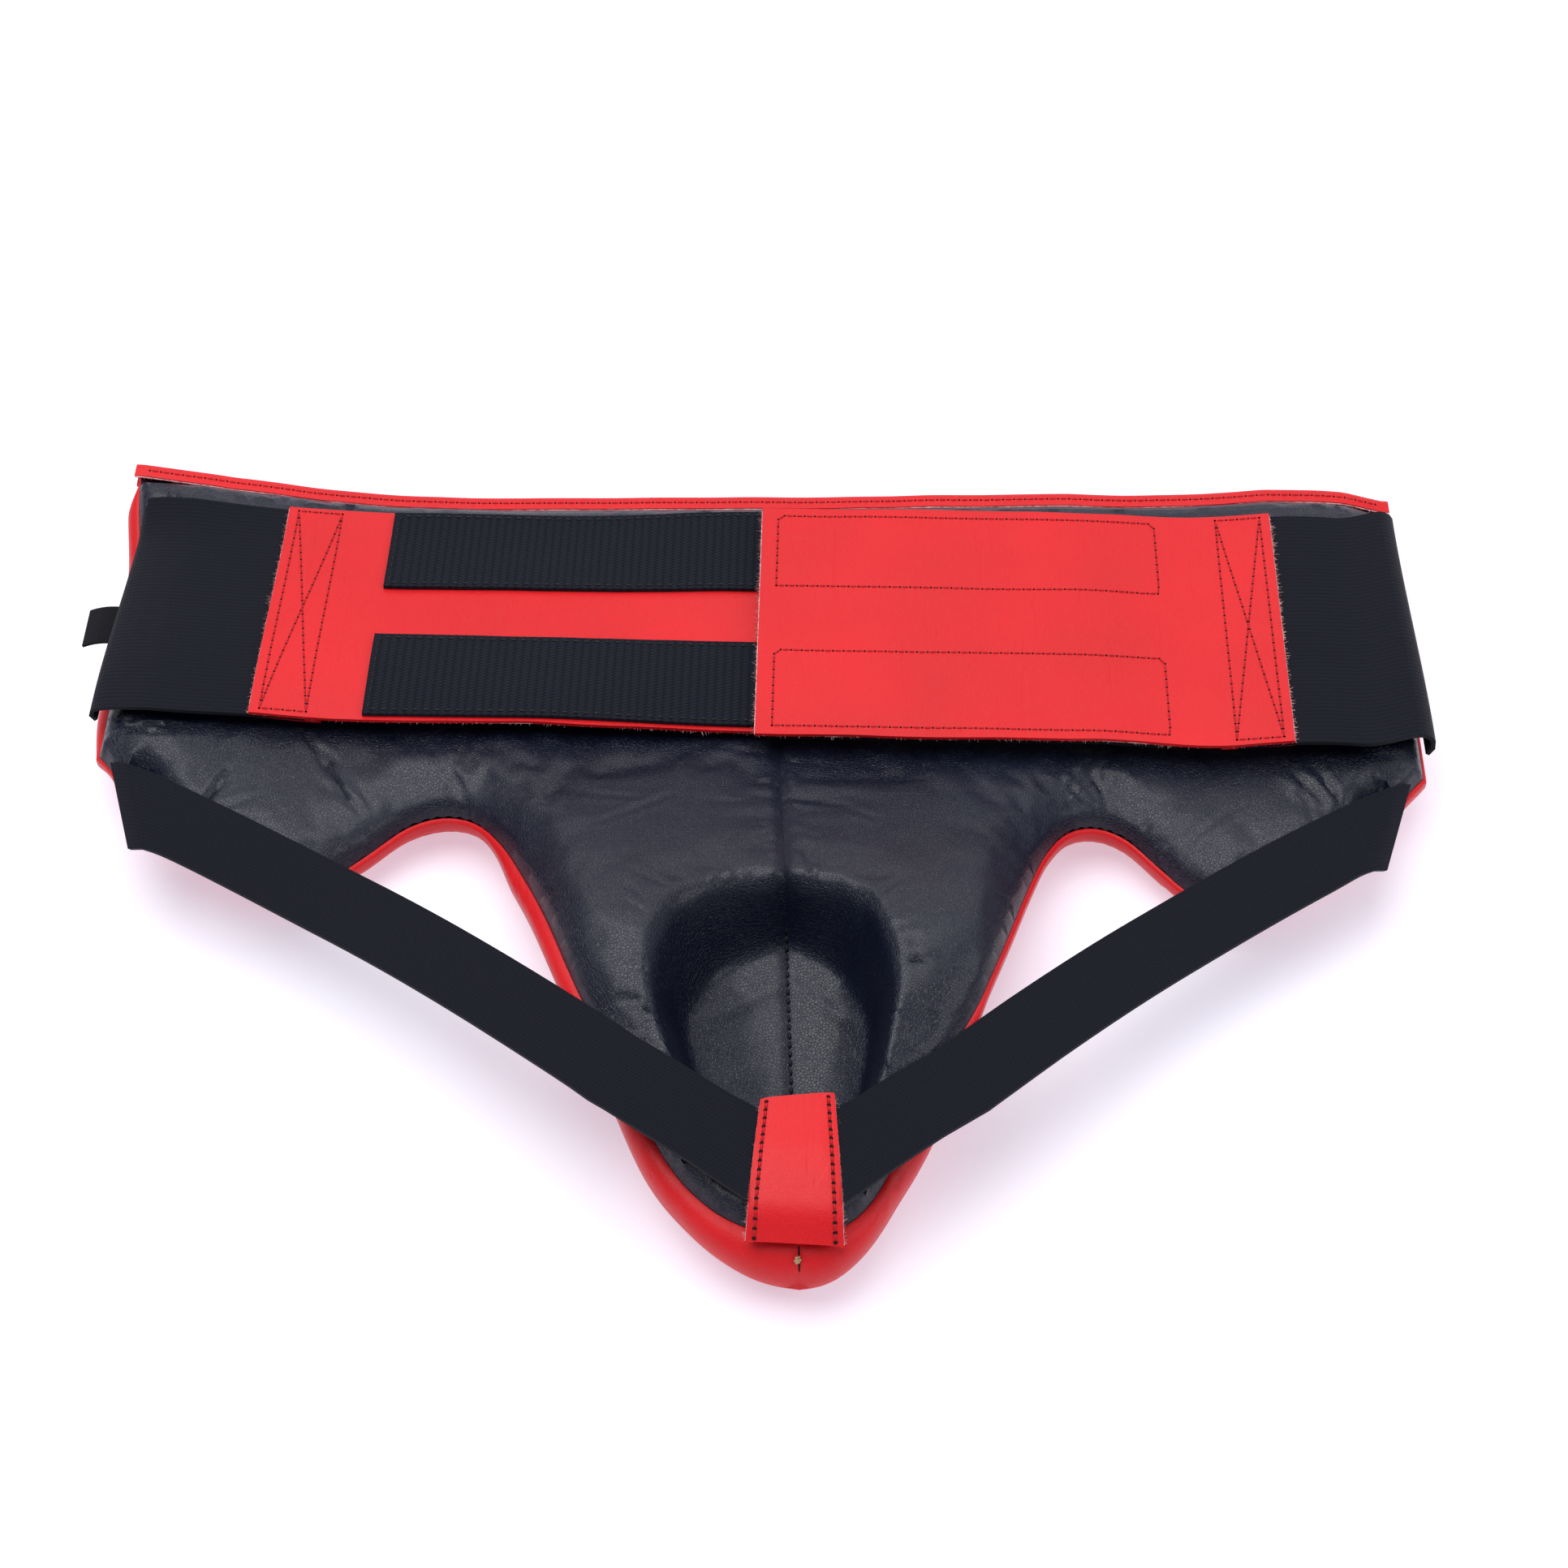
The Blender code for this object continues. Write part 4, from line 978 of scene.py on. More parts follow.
def padding():
    """Foam layers and the moulded cup between the two skins."""
    foam_line = mirrored(panel_half(PAD_TOP_Y, DEPTH_STEP, -FOAM_INSET))
    reaches = (FLANGE, FLANGE + FOAM_GAP, CUSHION_REACH, CUSHION_REACH + FOAM_GAP)
    rings = [offset_mouth(-reach)[::2] for reach in reaches]
    plan, faces = panel_plan([foam_line, *rings], [plan_zone(FOAM_ZONE_Y, INNER_SPACING)], foam_line)
    x, y = plan.T
    depth, mouth, z = lining_base(x, y)
    gain, at, reach = STEEP
    steep = 1 + gain * hump(mouth - at, reach)
    top = pressed(x, y, z, STRAP_TOUCH) - SKIN_CLEAR * steep
    floor = np.minimum(cover_height(x, y, depth) + COVER + SKIN_CLEAR, top - LEAST_FOAM)
    soft_low = np.where(mouth > 0, top - CUP_FOAM, top - (top - floor) * SOFT_SHARE)
    dense_top = soft_low - FOAM_GAP
    cup_low = np.maximum(dense_top - CUP_WALL * steep, floor + LEAST_PAD)
    cushion_low = np.maximum(dense_top - CUSHION, floor + LEAST_PAD)
    pad_top = np.where(mouth > -FLANGE, cup_low, cushion_low) - PAD_GAP
    centre = plan[faces].mean(axis=1)
    cx = centre[:, 0]
    in_foam = inside_depth(*centre.T, foam_line) > 0
    rim = -inside_depth(*centre.T, offset_mouth(0.0))
    middle = in_foam & (np.abs(cx) < WING_SPLIT_X)
    past = middle & (rim > CUSHION_REACH + FOAM_GAP)
    ring = (rim > FLANGE + FOAM_GAP) & (rim < CUSHION_REACH)
    layers = [
        ("soft_foam_centre", middle, top, soft_low, SOFT_FOAM, "soft_foam"),
        ("dense_foam_centre", past, dense_top, floor, DENSE_FOAM, "dense_foam"),
        ("cup_shell", rim < FLANGE, dense_top, cup_low, CUP_PLASTIC, "cup_plastic"),
        ("cup_rim_cushion", ring, dense_top, cushion_low, DENSE_FOAM, "dense_foam"),
        ("cup_front_pad", rim < CUSHION_REACH, pad_top, floor - FOAM_GAP, SOFT_FOAM, "soft_foam"),
    ]
    for side, sign in SIDES.items():
        wing = in_foam & (sign * cx > WING_SPLIT_X)
        layers.append((f"soft_foam_wing_{side}", wing, top, soft_low, SOFT_FOAM, "soft_foam"))
        layers.append((f"dense_foam_wing_{side}", wing, dense_top, floor, DENSE_FOAM, "dense_foam"))
    for name, keep, upper, lower, look, slot in layers:
        used, layer_faces = facing_up(plan, faces[keep])
        lower = np.minimum(lower, upper - LEAST_LAYER)
        ends = [place(*plan[used].T, height[used]) for height in (upper, lower)]
        piece = closed_layer(f"{name}_fill", *ends, layer_faces, look)
        finish_piece(piece, "root", [name])


# ---------------------------------------------------------------- sewing
def tube(points, radii, sides=6):
    """Vertices and faces of a closed tube through points, with a radius at each."""
    points = np.asarray(points, float)
    run = unit(np.gradient(points, axis=0))
    side = unit(np.cross(run, (0.1, 0.2, 1.0)))
    up = np.cross(side, run)
    turn = np.arange(sides) * 2 * math.pi / sides
    ring = side[:, None] * np.cos(turn)[None, :, None] + up[:, None] * np.sin(turn)[None, :, None]
    verts = (points[:, None] + ring * np.asarray(radii)[:, None, None]).reshape(-1, 3)
    faces = []
    for k in range(len(points) - 1):
        for j in range(sides):
            a, b = k * sides + j, k * sides + (j + 1) % sides
            faces.append((b, a, a + sides, b + sides))
    last = (len(points) - 1) * sides
    faces.append(tuple(range(sides)))
    faces.append(tuple(last + j for j in range(sides))[::-1])
    return verts, faces


class Bundle:
    """Many small closed shapes gathered into one mesh."""

    def __init__(self):
        self.points, self.faces, self.count = [], [], 0

    def add(self, points, faces):
        self.points.append(np.asarray(points, float))
        self.faces += [tuple(i + self.count for i in f) for f in faces]
        self.count += len(points)

    def build(self, name, material):
        return new_object(name, np.vstack(self.points), self.faces, material, 60)


def spaced(points, pitch):
    """Points pitch apart along a polyline."""
    points = np.asarray(points, float)
    lengths = lengths_along(points)
    count = max(2, round(lengths[-1] / pitch) + 1)
    at = np.linspace(0, lengths[-1], count)
    return np.stack([np.interp(at, lengths, points[:, k]) for k in range(points.shape[1])], 1)


# A stitch from one needle hole (0) to the next (1): places along it, and rise and thickness in radii.
STITCH_AT = np.array([0.20, 0.29, 0.5, 0.71, 0.80])[:, None]
STITCH_RISE = np.array([-0.7, 0.25, 0.75, 0.25, -0.7])[:, None]
STITCH_FAT = np.array([0.75, 1.0, 1.0, 1.0, 0.75])
HOLE_WIDTH = 1.8
HOLE_TAPER = 0.8
HOLE_DEPTH = np.array((0, 0, 0.0003))
HOLE_LIP = np.array((0, 0, 0.00012))


def sew(threads, holes, line, pitch, radius):
    """Stitches along a line of surface points: short arcs of thread, and near-black discs of painted shade
    at the needle holes unless holes is None.
    """
    points = spaced(line, pitch)
    for a, b in zip(points, points[1:]):
        path = a + (b - a) * STITCH_AT + STITCH_RISE * (0, 0, radius)
        threads.add(*tube(path, radius * STITCH_FAT))
    if holes is None:
        return
    # Each needle hole gets a near-black disc, sunk a little and standing just proud of the surface: painted
    # shade in the hole.
    hexagon = np.arange(6) * math.pi / 3
    disc = np.stack([np.cos(hexagon), np.sin(hexagon), np.zeros(6)], 1) * radius * HOLE_WIDTH
    sides = [(j, (j + 1) % 6, 6 + (j + 1) % 6, 6 + j) for j in range(6)]
    for p in points:
        rims = np.vstack([p + disc - HOLE_DEPTH, p + disc * HOLE_TAPER + HOLE_LIP])
        holes.add(rims, [tuple(range(6))[::-1], tuple(range(6, 12)), *sides])


FIBRE_RADIUS = 0.00007
FIBRE_TAPER = np.array([1.0, 0.9, 0.7, 0.3])
FRINGE_OUT = 0.0001


def fringe(bundle, line, outward, count, length):
    """Loose leather fibres along a raw edge."""
    points = spaced(line, 0.0005)
    outward = np.asarray(outward, float)
    rough = 0.00022 + 0.00008 * wander(points, 0.0021, 61.0)
    bundle.add(*tube(points + outward * FRINGE_OUT, rough, 5))
    for _ in range(count):
        start = points[random.randrange(len(points))]
        way = outward + np.array([random.uniform(-0.9, 0.9) for _ in range(3)])
        curl = np.array([random.uniform(-0.5, 0.5) for _ in range(3)])
        reach = length * random.uniform(0.3, 1.0)
        t = np.linspace(0, 1, 4)[:, None]
        path = start + way * reach * t + curl * reach * t**2
        bundle.add(*tube(path, FIBRE_RADIUS * FIBRE_TAPER, 3))


def finish_piece(obj, body, replaced=()):
    """Rides obj on a body and hides the CAD nodes that it stands for."""
    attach(obj, body)
    if replaced:
        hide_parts(*replaced)


def finish_sewing(name, body, threads, holes, fibres):
    """A leather piece's threads, the painted shade of its needle holes and its raw edge, as three pieces on
    its body.
    """
    parts = ((threads, "stitches", THREAD), (holes, "needle_hole_shade", HOLE), (fibres, "raw_edge", FIBRE))
    for bundle, kind, look in parts:
        finish_piece(bundle.build(f"{name}_{kind}", look), body)


# ---------------------------------------------------------------- belt
HINGE = (0.2262, 0.0178)
BAND_PATHS = {
    "left": ((0.2277, 0.0198), (0.2268, 0.0224), (0.2222, 0.0246), (0.2130, 0.0276), (0.2010, 0.0300)),
    "right": ((0.2277, 0.0206), (0.2273, 0.0242), (0.2236, 0.0278), (0.2135, 0.0308), (0.1990, 0.0346)),
}
FOLD_X = 0.2240
BAND_GRIP = 0.0185
PLY_STEP = 0.0015
POCKET_DROP = 0.0018
POCKET_X = 0.0235
POCKET_SLOPE = 1.4
BACK_PLY_INSET = 0.0016
CLOTH_STEP = 0.0025
# Where each half's leg edge and waist edge lie off the flat belt: height away from the overlap, and Y.
BELT_EDGE_Z = {"left": (0.0030, -0.0035), "right": (0.0, 0.0)}
BELT_EDGE_Y = {"left": (0.0008, 0.0028), "right": (-0.0056, -0.0016)}
BELT_END_Y = {"left": 0.0050, "right": 0.0095}
BELT_DIP = {"left": 0.0015, "right": 0.0030}
BELT_DIP_X = {"left": (0.150, 0.185), "right": (0.115, 0.172)}
BELT_END_X = {"left": (0.190, 0.226), "right": (0.208, 0.236)}
BELT_TAPER = {"left": 0.0020, "right": 0.0030}
BELT_TILT_X = (0.010, -0.070)
BELT_LIFT_X = (-0.160, -0.205)
BELT_CALM_X = (0.225, 0.205)
BELT_SEEDS = {"left": 21.0, "right": 24.0}
CUT_WAVER = 0.0005
FRAME_INSET = {"loop": 0.0018, "hook": 0.0022}
# The stitched box with a cross in it at each tab's outer end.
CROSS_X = (0.0035, 0.0190)
CROSS_INSET = 0.0015


def belt_rise(side, x, y):
    """Height that the belt's tilt and its slight waves add at a point of the row frame."""
    low, high = belt_width()
    leg, waist = BELT_EDGE_Z[side]
    tilt = (leg + (waist - leg) * smooth((y - low) / (high - low))) * ramp(x, BELT_TILT_X)
    points = plan_points(x.ravel(), y.ravel())
    seed = BELT_SEEDS[side]
    waves = 0.00045 * wander(points, 0.035, seed) + 0.00012 * wander(points, 0.012, seed + 1)
    waves = waves.reshape(np.shape(x)) * ramp(np.abs(x), BELT_CALM_X)
    panel_x, panel_y = x - PANEL_ORIGIN[0], y - PANEL_ORIGIN[1]
    lifted = waist_lift(panel_x, panel_y) * ramp(panel_x, BELT_LIFT_X)
    return tilt + wing_lift(panel_x) + lifted + waves


def belt_shift(side, x, y):
    """How far the belt's edges lie off their flat Y."""
    low, high = belt_width()
    leg, waist = BELT_EDGE_Y[side]
    end = BELT_END_Y[side] * ramp(np.abs(x), BELT_END_X[side])
    dip = BELT_DIP[side] * ramp(np.abs(x), BELT_DIP_X[side])
    return leg + (waist - leg) * (y - low) / (high - low) + end - dip


def belt_width():
    low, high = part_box("elastic_band_left")
    return low.y, high.y


def belt_grid(side, path, y_range):
    """Middle points of a belt strip: path of (x, z) in the row frame, swept across y_range."""
    path = np.asarray(path)
    ys = np.linspace(*y_range, max(3, round((y_range[1] - y_range[0]) / CLOTH_STEP) + 1))
    x, y = np.meshgrid(path[:, 0], ys, indexing="ij")
    z = path[:, 1:] + belt_rise(side, x, y)
    low, high = belt_width()
    drawn_in = BELT_TAPER[side] * smooth((y - low) / (high - low)) * ramp(np.abs(x), BELT_END_X[side])
    return np.stack([x - np.sign(x) * drawn_in, y + belt_shift(side, x, y), z], 2)


def ply_heights(side):
    """Middle heights of a tab's back and front plies."""
    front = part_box(f"closure_tab_{side}_front")[0].z + PLY / 2
    return front - PLY_STEP, front


def tab_range(side):
    low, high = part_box(f"closure_tab_{side}_front")
    return (low.x, high.x) if side == "left" else (high.x, low.x)


def tab_top(side):
    """Height of the tab's upper face at points of the row frame."""
    front = ply_heights(side)[1] + PLY / 2
    return lambda x, y: front + belt_rise(side, np.atleast_1d(x), np.atleast_1d(y))


def over(side, surface, corners, step=0.002):
    """A line on a belt surface, through corners given in plan."""
    line = spaced(np.asarray(corners, float), step)
    x, y = line.T
    return np.column_stack([x, y + belt_shift(side, x, y), surface(x, y)])


def inset_frame(low, high, inset):
    """A closed rectangle inside a box's plan."""
    x0, x1, y0, y1 = low.x + inset, high.x - inset, low.y + inset, high.y - inset
    return [(x0, y0), (x1, y0), (x1, y1), (x0, y1), (x0, y0)]


def elastic_band(side):
    sign = SIDES[side]
    outer = tab_range(side)[0]
    back, front = ply_heights(side)
    grip_z = (back + front - POCKET_DROP) / 2
    shift = PANEL_ORIGIN[0]
    path = [(sign * x + shift, z) for x, z in (HINGE, *BAND_PATHS[side])]
    path += [(outer, grip_z), (outer - sign * BAND_GRIP, grip_z)]
    path = curve_through(path, CLOTH_STEP)
    grid = belt_grid(side, path, belt_width())
    if side == "left":
        grid = grid[:, ::-1]
    cut = int(np.argmax(np.abs(grid[:, 0, 0] - shift) < FOLD_X)) + 1
    fold = ribbon(f"elastic_{side}_fold", grid[:cut + 1], BAND, ELASTIC)
    face = ribbon(f"elastic_{side}_face", grid[cut:], BAND, ELASTIC)
    for piece in (fold, face):
        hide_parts(f"elastic_band_{side}")
    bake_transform(fold)
    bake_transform(face)


def tab_grid(side, path, edge_seed, inset=0.0):
    """A ply's grid, whose cut edges wander a little."""
    low, high = belt_width()
    grid = belt_grid(side, curve_through(path, CLOTH_STEP), (low + inset, high))
    points = grid[:, 0] * (1, 1, 0)
    for k, way in ((0, -1), (-1, 1)):
        grid[:, k, 1] += CUT_WAVER * (way + wander(points, 0.025, edge_seed + k))
    if side == "left":
        grid = grid[:, ::-1]
    return grid


def closure_tab(side):
    sign = SIDES[side]
    outer, inner = tab_range(side)
    back, front = ply_heights(side)
    pocket = [(outer, back - POCKET_DROP), (outer - sign * POCKET_X, back - POCKET_DROP)]
    flat = [(outer - sign * POCKET_X * POCKET_SLOPE, back), (inner, back)]
    body = f"tab_{side}"
    lower = ribbon(f"tab_{side}_back_ply", tab_grid(side, pocket + flat, 31.0, BACK_PLY_INSET), PLY, RED)
    finish_piece(lower, body, [f"closure_tab_{side}_back"])
    upper_path = [(outer, front), (inner, front)]
    upper = ribbon(f"tab_{side}_front_ply", tab_grid(side, upper_path, 37.0), PLY, RED)
    finish_piece(upper, body, [f"closure_tab_{side}_front"])

    low, high = belt_width()
    top = tab_top(side)
    threads, holes, fibres = Bundle(), Bundle(), Bundle()
    crossed = [(outer - sign * at, y) for at in CROSS_X for y in (low + CROSS_INSET, high - CROSS_INSET)]
    lines = list(itertools.combinations(crossed, 2))
    if side == "right":
        for strip in ("upper", "lower"):
            lines.append(inset_frame(*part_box(f"hook_strip_{strip}"), FRAME_INSET["hook"]))
    for line in lines:
        sew(threads, holes, over(side, top, line), *TAB_STITCHES)
    edges = (
        ((outer, low), (outer, high), (sign, 0, 0), TAB_END_FIBRES),
        ((inner, low), (inner, high), (-sign, 0, 0), TAB_END_FIBRES),
        ((outer, low), (inner, low), (0, -1, 0), TAB_SIDE_FIBRES),
    )
    for start, end, outward, fibre in edges:
        fringe(fibres, over(side, top, [start, end]) - (0, 0, PLY), outward, *fibre)
    finish_sewing(f"tab_{side}", body, threads, holes, fibres)


def fastening_strip(kind, level):
    """A hook or loop strip on its tab, with black stitching where it shows."""
    side = "left" if kind == "loop" else "right"
    low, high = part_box(f"{kind}_strip_{level}")
    middle = (low.z + high.z) / 2
    path = curve_through([(low.x, middle), (high.x, middle)], CLOTH_STEP)
    grid = belt_grid(side, path, (low.y, high.y))
    look = LOOP if kind == "loop" else HOOK
    strip = ribbon(f"{kind}_{level}", grid, STRIP, look)
    finish_piece(strip, f"tab_{side}", [f"{kind}_strip_{level}"])
    if kind == "hook":
        return
    threads = Bundle()
    corners = inset_frame(low, high, FRAME_INSET[kind])
    frame_line = over(side, lambda x, y: high.z + belt_rise(side, x, y), corners)
    sew(threads, None, frame_line, *LOOP_STITCHES)
    finish_piece(threads.build(f"loop_{level}_stitches", BLACK_THREAD), "tab_left")


def belt():
    for side in SIDES:
        elastic_band(side)
        closure_tab(side)
    for level in ("upper", "lower"):
        fastening_strip("loop", level)
        fastening_strip("hook", level)


# ---------------------------------------------------------------- leg straps and crotch tab
STRAP_WIDTH = 0.0265
STRAP_CLEAR = 0.0012
STRAP_PRESS = 0.0012
STRAP_BOW = 0.0080
STRAP_BOW_END = 0.80
PRESS_BLEND = 0.0020
PRESS_SLOPE = 1.1
PRESS_MARGIN = 0.001
PRESS_SHARE = (-0.03, 1.05)
STRAP_START = (0.2125, -0.0027)
STRAP_START_HALF = (0.0060, 0.0185)
STRAP_START_SHARE = 0.20
STRAP_END_SHARE = (0.93, 1.0)
STRAP_STATIONS = 41
STRAP_COLUMNS = 11
TAB_SIDE_GAP = 0.0005
TAB_Y = (-0.1674, -0.1250)
CROTCH_TAB_HALF = (0.0145, 0.0110)
TAB_PLY_STEP = 0.0034
TAB_SKEW = (-0.0006, 0.0013)
TAB_CLEAR = 0.0014
TAB_STEP = 0.0015
TAB_COLUMNS = 13
LOWER_PINCH = -0.0006
UPPER_PINCH = 0.0009
STRAP_ROWS = slice(7, 22)
STRAP_END_Y = -0.1450


def unleaned(x, y):
    """The panel X that leaned carries to x."""
    found = x
    for _ in range(8):
        found = x - (leaned(found, y) - found)
    return found


def padding_height(x, y):
    """Smooth height of the lining at leaned panel points."""
    return lining_base(unleaned(x, y), y)[2]


def taut(heights):
    """The lowest line over the given heights that never dips, as a tight strap lies."""
    count = len(heights)
    lifted = list(heights)
    for k in range(count):
        for a in range(k):
            for b in range(k + 1, count):
                level = heights[a] + (heights[b] - heights[a]) * (k - a) / (b - a)
                lifted[k] = max(lifted[k], level)
    return lifted


def tab_half_at(y):
    return float(np.interp(y, TAB_Y, CROTCH_TAB_HALF))


def tab_path():
    """Middle line of the crotch tab's lower ply, as (y, z)."""
    y = np.linspace(*TAB_Y, 8)
    rows = [padding_height(leaned(0.0, y) + across, y) for across in (0.0, CROTCH_TAB_HALF[1])]
    heights = np.maximum.accumulate(np.maximum(*rows)) + TAB_CLEAR
    return np.stack([y, taut(heights)], 1)


def tab_middle_z():
    """Height between the crotch tab's plies where the straps end."""
    return float(np.interp(STRAP_END_Y, *tab_path().T)) + TAB_PLY_STEP / 2


def strap_bow(share):
    """How far a strap bows toward the waist, by share of its length."""
    return STRAP_BOW * np.sin(math.pi * np.clip(share / STRAP_BOW_END, 0, 1))


def strap_line(sign):
    """Centre points and half-width vectors of a leg strap in plan, from the wing to the tab."""
    tab_x = float(leaned(0.0, STRAP_END_Y))
    start = np.array((sign * STRAP_START[0], STRAP_START[1]))
    end = np.array((tab_x + sign * (tab_half_at(STRAP_END_Y) + TAB_SIDE_GAP), STRAP_END_Y))
    along = (end - start) / np.linalg.norm(end - start)
    across = np.array((-along[1], along[0])) * (-sign * STRAP_WIDTH / 2)
    start_half = np.array((sign * STRAP_START_HALF[0], STRAP_START_HALF[1]))
    reach = STRAP_WIDTH / 2 / abs(along[0])
    slope = (tab_half_at(STRAP_END_Y - reach) - tab_half_at(STRAP_END_Y + reach)) / 2
    s = np.linspace(0, 1, STRAP_STATIONS)[:, None]
    centres = start + (end - start) * s + (0, 1) * strap_bow(s)
    halves = start_half + (across - start_half) * smooth(s / STRAP_START_SHARE)
    last = ramp(s, STRAP_END_SHARE)
    halves = halves + (np.array((-sign * slope, reach)) - halves) * last
    return centres, halves


@functools.cache
def strap_plan(sign):
    """A strap's centre points, its plan grid, and its height at each station."""
    centres, halves = strap_line(sign)
    t = np.linspace(-1, 1, STRAP_COLUMNS)
    plan = centres[:, None] + halves[:, None] * t[None, :, None]
    heights = padding_height(plan[..., 0], plan[..., 1]).max(axis=1) + STRAP / 2 + STRAP_CLEAR
    heights[-1] = max(heights[-1], tab_middle_z())
    share = np.linspace(0, 1, STRAP_STATIONS)
    level = np.array(taut(heights)) + wing_lift(centres[:, 0])
    return centres, plan, level - STRAP_PRESS * np.sin(math.pi * share)


def pressed(x, y, z, clear):
    """Panel heights z, held down to clear below the leg straps where they cross."""
    at = leaned(x, y)
    for sign in SIDES.values():
        centres, _, level = strap_plan(sign)
        run = centres[-1] - centres[0]
        length = float(np.linalg.norm(run))
        dx, dy = at - centres[0, 0], y - centres[0, 1]
        share = (dx * run[0] + dy * run[1]) / length**2
        off = np.abs(dx * run[1] - (dy - strap_bow(share)) * run[0]) / length
        limit = np.interp(share, np.linspace(0, 1, len(level)), level) - STRAP / 2 - clear - wing_lift(x)
        limit = limit + PRESS_SLOPE * np.maximum(0.0, off - STRAP_WIDTH / 2 - PRESS_MARGIN)
        limit = np.where((share < PRESS_SHARE[0]) | (share > PRESS_SHARE[1]), 1.0, limit)
        blend = np.clip(0.5 + 0.5 * (limit - z) / PRESS_BLEND, 0, 1)
        z = limit * (1 - blend) + z * blend - PRESS_BLEND * blend * (1 - blend)
    return z


def leg_strap(side):
    sign = SIDES[side]
    _, plan, level = strap_plan(sign)
    z = np.repeat(level[:, None], STRAP_COLUMNS, axis=1)
    grid = np.dstack([plan, z]) + PANEL_ORIGIN
    if sign > 0:
        grid = grid[:, ::-1]
    strap = ribbon(f"strap_{side}", grid, STRAP, ELASTIC)
    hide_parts(f"leg_strap_{side}")
    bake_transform(strap)


def crotch_tab():
    """Two leather plies with the straps' elastic between them, sewn down both edges."""
    middle = float(leaned(0.0, STRAP_END_Y))
    path = curve_through(tab_path(), TAB_STEP)
    normal = left_of(np.gradient(path, axis=0))
    t = np.linspace(-1, 1, TAB_COLUMNS)

    def grid_at(lift, rows=slice(None), pinch=0.0):
        centre = (path + normal * lift)[rows]
        half = np.interp(path[rows, 0], TAB_Y, CROTCH_TAB_HALF)[:, None]
        x = middle + half * t
        skew = TAB_SKEW[0] + (TAB_SKEW[1] - TAB_SKEW[0]) * ramp(path[rows, :1], TAB_Y)
        y = np.repeat(centre[:, :1], len(t), axis=1) + skew * t
        z = centre[:, 1:] - pinch * np.abs(t) ** 6
        return np.dstack([x, y, z]) + PANEL_ORIGIN

    lower, upper = grid_at(0.0, pinch=LOWER_PINCH), grid_at(TAB_PLY_STEP, pinch=UPPER_PINCH)
    inside = grid_at(TAB_PLY_STEP / 2, STRAP_ROWS)
    plies = (
        ("crotch_tab_lower_ply", lower, PLY, RED, "red_leather", "crotch_tab_back"),
        ("strap_inside_tab", inside, STRAP, ELASTIC, "black_elastic", "strap_bridge"),
        ("crotch_tab_upper_ply", upper, PLY, RED, "red_leather", "crotch_tab_front"),
    )
    for name, grid, thickness, look, slot, cad in plies:
        finish_piece(ribbon(name, grid[:, ::-1], thickness, look), "crotch_tab", [cad])
    top = grid_at(TAB_PLY_STEP + PLY / 2, slice(1, -1), UPPER_PINCH)
    threads, holes, fibres = Bundle(), Bundle(), Bundle()
    for column in (1, TAB_COLUMNS - 2):
        sew(threads, holes, top[:, column], *CROTCH_STITCHES)
    for column, way in ((0, -1), (-1, 1)):
        fringe(fibres, top[:, column] - (0, 0, PLY), (way, 0, 0), *CROTCH_FIBRES)
    finish_sewing("crotch_tab", "crotch_tab", threads, holes, fibres)


# ---------------------------------------------------------------- waist edge, label, seam threads
BINDING_LAP = 0.0060
BINDING_OVERHANG = 0.002
BINDING_WAVER = 0.0005
BINDING_STATIONS = 180


def binding():
    """Leather strip folded round the waist edge, sewn through, with a raw upper lip."""
    low = WING_SEAM_Z - COVER - GAP - PLY / 2
    high = WING_SEAM_Z + LINING + 2 * GAP + PLY / 2
    fold, lip = TOP_Y + GAP + PLY / 2, TOP_Y - BINDING_LAP
    middle, radius = (low + high) / 2, (high - low) / 2
    turn = np.linspace(-math.pi / 2, math.pi / 2, 7)
    arc = [(fold - radius + radius * math.cos(a), middle + radius * math.sin(a)) for a in turn]
    inner = lip + BINDING_LAP / 2
    section = np.array([(lip, low), (inner, low), *arc, (inner, high), (lip, high)])
    end = END_X + BINDING_OVERHANG
    xs = np.linspace(-end, end, BINDING_STATIONS)
    uneven = BINDING_WAVER * wander(plan_points(xs, 0 * xs), 0.02, 41.0)[:, None]
    x, y = np.meshgrid(xs, section[:, 0], indexing="ij")
    points = place(x, y + uneven, np.broadcast_to(section[:, 1], x.shape))
    piece = ribbon("waist_binding", points[::-1], PLY, RED)
    finish_piece(piece, "root", ["top_binding"])
    line = points[:, -2] + (0, 0, PLY / 2)
    threads, holes, fibres = Bundle(), Bundle(), Bundle()
    sew(threads, holes, line[2:-2], *BINDING_STITCHES)
    fringe(fibres, points[:, -1], (0, -1, 0.2), *BINDING_FIBRES)
    finish_sewing("waist_binding", "root", threads, holes, fibres)


LABEL_THICK = 0.0010
LABEL_SHORTER = 0.72
LABEL_LOWER_Y = 0.006
LABEL_SKEW = 0.003
LABEL_DROP = 0.0016
LABEL_ARCH = 0.0022
LABEL_ROWS = 14
LABEL_COLUMNS = 9


def label():
    """Small folded cloth label in the left side seam, left blank."""
    low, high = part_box("woven_label")
    middle, middle_y = (low.z + high.z) / 2, (low.y + high.y) / 2
    outer, root = low.x, high.x
    length = (root - outer) * LABEL_SHORTER
    root -= CORNER_CURL * float(ramp(middle_y, CORNER_Y))
    middle += float(wing_lift(root)) - LABEL_DROP
    rows = []
    for share in np.linspace(0, 1, LABEL_ROWS):
        y = np.linspace(low.y, high.y, LABEL_COLUMNS) - LABEL_LOWER_Y - LABEL_SKEW * share
        x = np.full(LABEL_COLUMNS, root - length * share)
        z = np.full(LABEL_COLUMNS, middle + LABEL_ARCH * math.sin(share * 2.4))
        rows.append(np.stack([x, y, z], 1))
    finish_piece(ribbon("label", rows, LABEL_THICK, LABEL), "root", ["woven_label"])


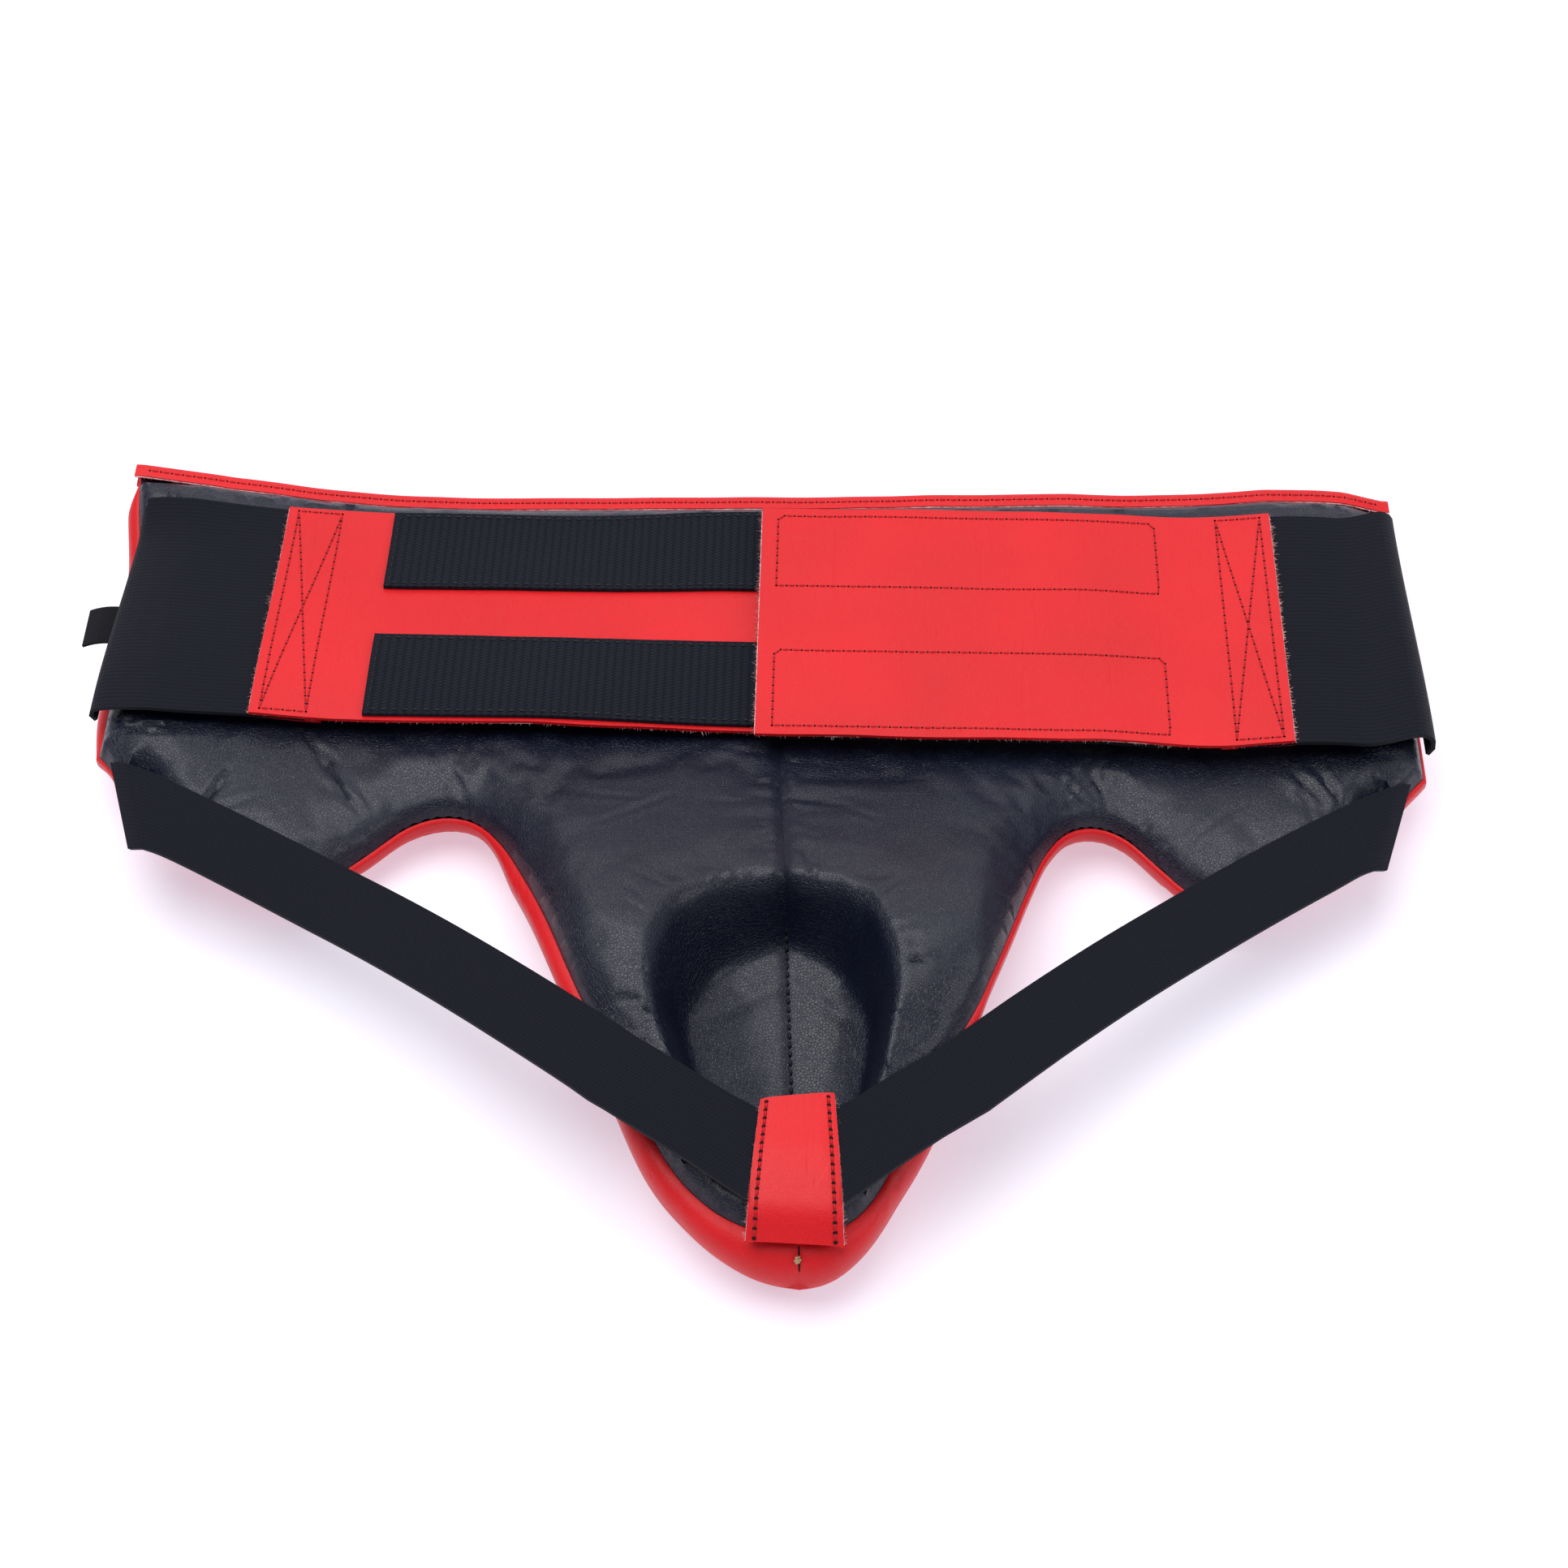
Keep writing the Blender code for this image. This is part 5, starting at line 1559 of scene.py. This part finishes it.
CUP_SEAM_Y = (-0.050, -0.128)
SEAM_LINE_RADIUS = 0.00035
KNOT_RADIUS = 0.00045
KNOT_LEFT = 0.0004
# The knot's turns: how far out on the rolled edge each lies, and its half width.
KNOT_TURNS = ((0.60, 0.0008), (0.66, 0.0011), (0.72, 0.0007))


def seam_threads():
    """Black stitches down the cup's centre seam, and the tan knot that ends the crotch seam."""
    y = np.linspace(*CUP_SEAM_Y, 60)
    x = np.zeros_like(y)
    depth, mouth, z = lining_base(x, y)
    z = z + creases(x, y, depth, mouth) + 0.0001
    threads = Bundle()
    sew(threads, None, place(x, y, z), *CUP_STITCHES)
    finish_piece(threads.build("cup_seam_stitches", BLACK_THREAD), "root")
    seam_y = LOWER_EDGE[0][1]
    bulge = float(cover_bulge(0.0, seam_y))

    def on_roll(share, x, lift):
        out_y = seam_y - bulge * share + SEAM_GROOVE * share * hump(x, EDGE_GROOVE_HALF)
        height = float(seam_height(0.0, seam_y)) - roll_drop(bulge, share) + lift
        return place(x, out_y - lift * share, height)

    share = np.linspace(0.05, 0.99, 12)
    line = Bundle()
    line.add(*tube(on_roll(share, 0 * share, -0.0006), np.full(12, SEAM_LINE_RADIUS)))
    finish_piece(line.build("crotch_seam_line", HOLE), "root")
    knot = Bundle()
    t = np.linspace(-1, 1, 5)
    for at, width in KNOT_TURNS:
        knot.add(*tube(on_roll(np.full(5, at), width * t - KNOT_LEFT, 0.0002), np.full(5, KNOT_RADIUS)))
    finish_piece(knot.build("crotch_seam_knot", TAN), "root")


# ---------------------------------------------------------------- stage
CAMERA_TARGET = Vector((0.0165, 0.0105, 0.040))
CAMERA_TURN = math.radians(1.2)
CAMERA_TILT = math.radians(50.0)
CAMERA_DISTANCE = 0.985
LENS = 68.57
SENSOR = 36.0
FLOOR_HALF = 20.0
FLOOR_Z = -0.0004
FLOOR_GLOW = ((0.90, 0.86, 1.0, 1.0), 0.52)
SKY = ((0.86, 0.85, 1.0, 1.0), 0.32)
# Name, place, size, power and colour of each light. All of them face the origin.
LIGHTS = (
    ("far_softbox", (0.1, 1.9, 2.0), (4.0, 2.6), 32, (1.0, 0.99, 1.0)),
    ("top_softbox", (-0.5, 0.1, 2.4), (2.2, 2.2), 58, (1.0, 1.0, 1.0)),
    ("right_softbox", (2.0, -0.4, 1.5), (1.4, 1.4), 14, (0.98, 0.98, 1.0)),
)


def aimed(name, data, location, target):
    """A camera or light in the scene, at a place and facing a target."""
    made = bpy.data.objects.new(name, data)
    bpy.context.scene.collection.objects.link(made)
    made.location = location
    made.rotation_mode = "QUATERNION"
    made.rotation_quaternion = (target - location).to_track_quat("-Z", "Y")
    return made


def camera():
    data = bpy.data.cameras.new("camera")
    data.lens, data.sensor_width = LENS, SENSOR
    turn, tilt = CAMERA_TURN, CAMERA_TILT
    back = Vector((math.sin(turn) * math.cos(tilt), -math.cos(turn) * math.cos(tilt), math.sin(tilt)))
    location = CAMERA_TARGET + back * CAMERA_DISTANCE
    bpy.context.scene.camera = aimed("camera", data, location, CAMERA_TARGET)


def studio():
    scene = bpy.context.scene
    scene.view_settings.view_transform = "Standard"
    corners = [(x * FLOOR_HALF, y * FLOOR_HALF, 0) for x, y in ((-1, -1), (1, -1), (1, 1), (-1, 1))]
    floor_look = plain("floor", (0.60, 0.60, 0.62), (0.62, 0.62, 0.64), 0.9, 3.0)
    shader = floor_look.node_tree.nodes["Principled BSDF"]
    shader.inputs["Emission Color"].default_value = FLOOR_GLOW[0]
    shader.inputs["Emission Strength"].default_value = FLOOR_GLOW[1]
    floor = new_object("floor", corners, [(0, 1, 2, 3)], floor_look)
    floor.location.z = FLOOR_Z
    for name, location, size, power, colour in LIGHTS:
        data = bpy.data.lights.new(name, "AREA")
        data.shape, data.size, data.size_y = "RECTANGLE", *size
        data.energy, data.color = power, colour
        aimed(name, data, Vector(location), Vector((0, 0, 0)))
    world = bpy.data.worlds.new("studio")
    world.use_nodes = True
    background = world.node_tree.nodes["Background"]
    background.inputs["Color"].default_value = SKY[0]
    background.inputs["Strength"].default_value = SKY[1]
    scene.world = world


def main():
    random.seed(SEED)
    camera()
    studio()
    lining()
    cover()
    padding()
    binding()
    belt()
    for side in SIDES:
        leg_strap(side)
    crotch_tab()
    label()
    seam_threads()


main()
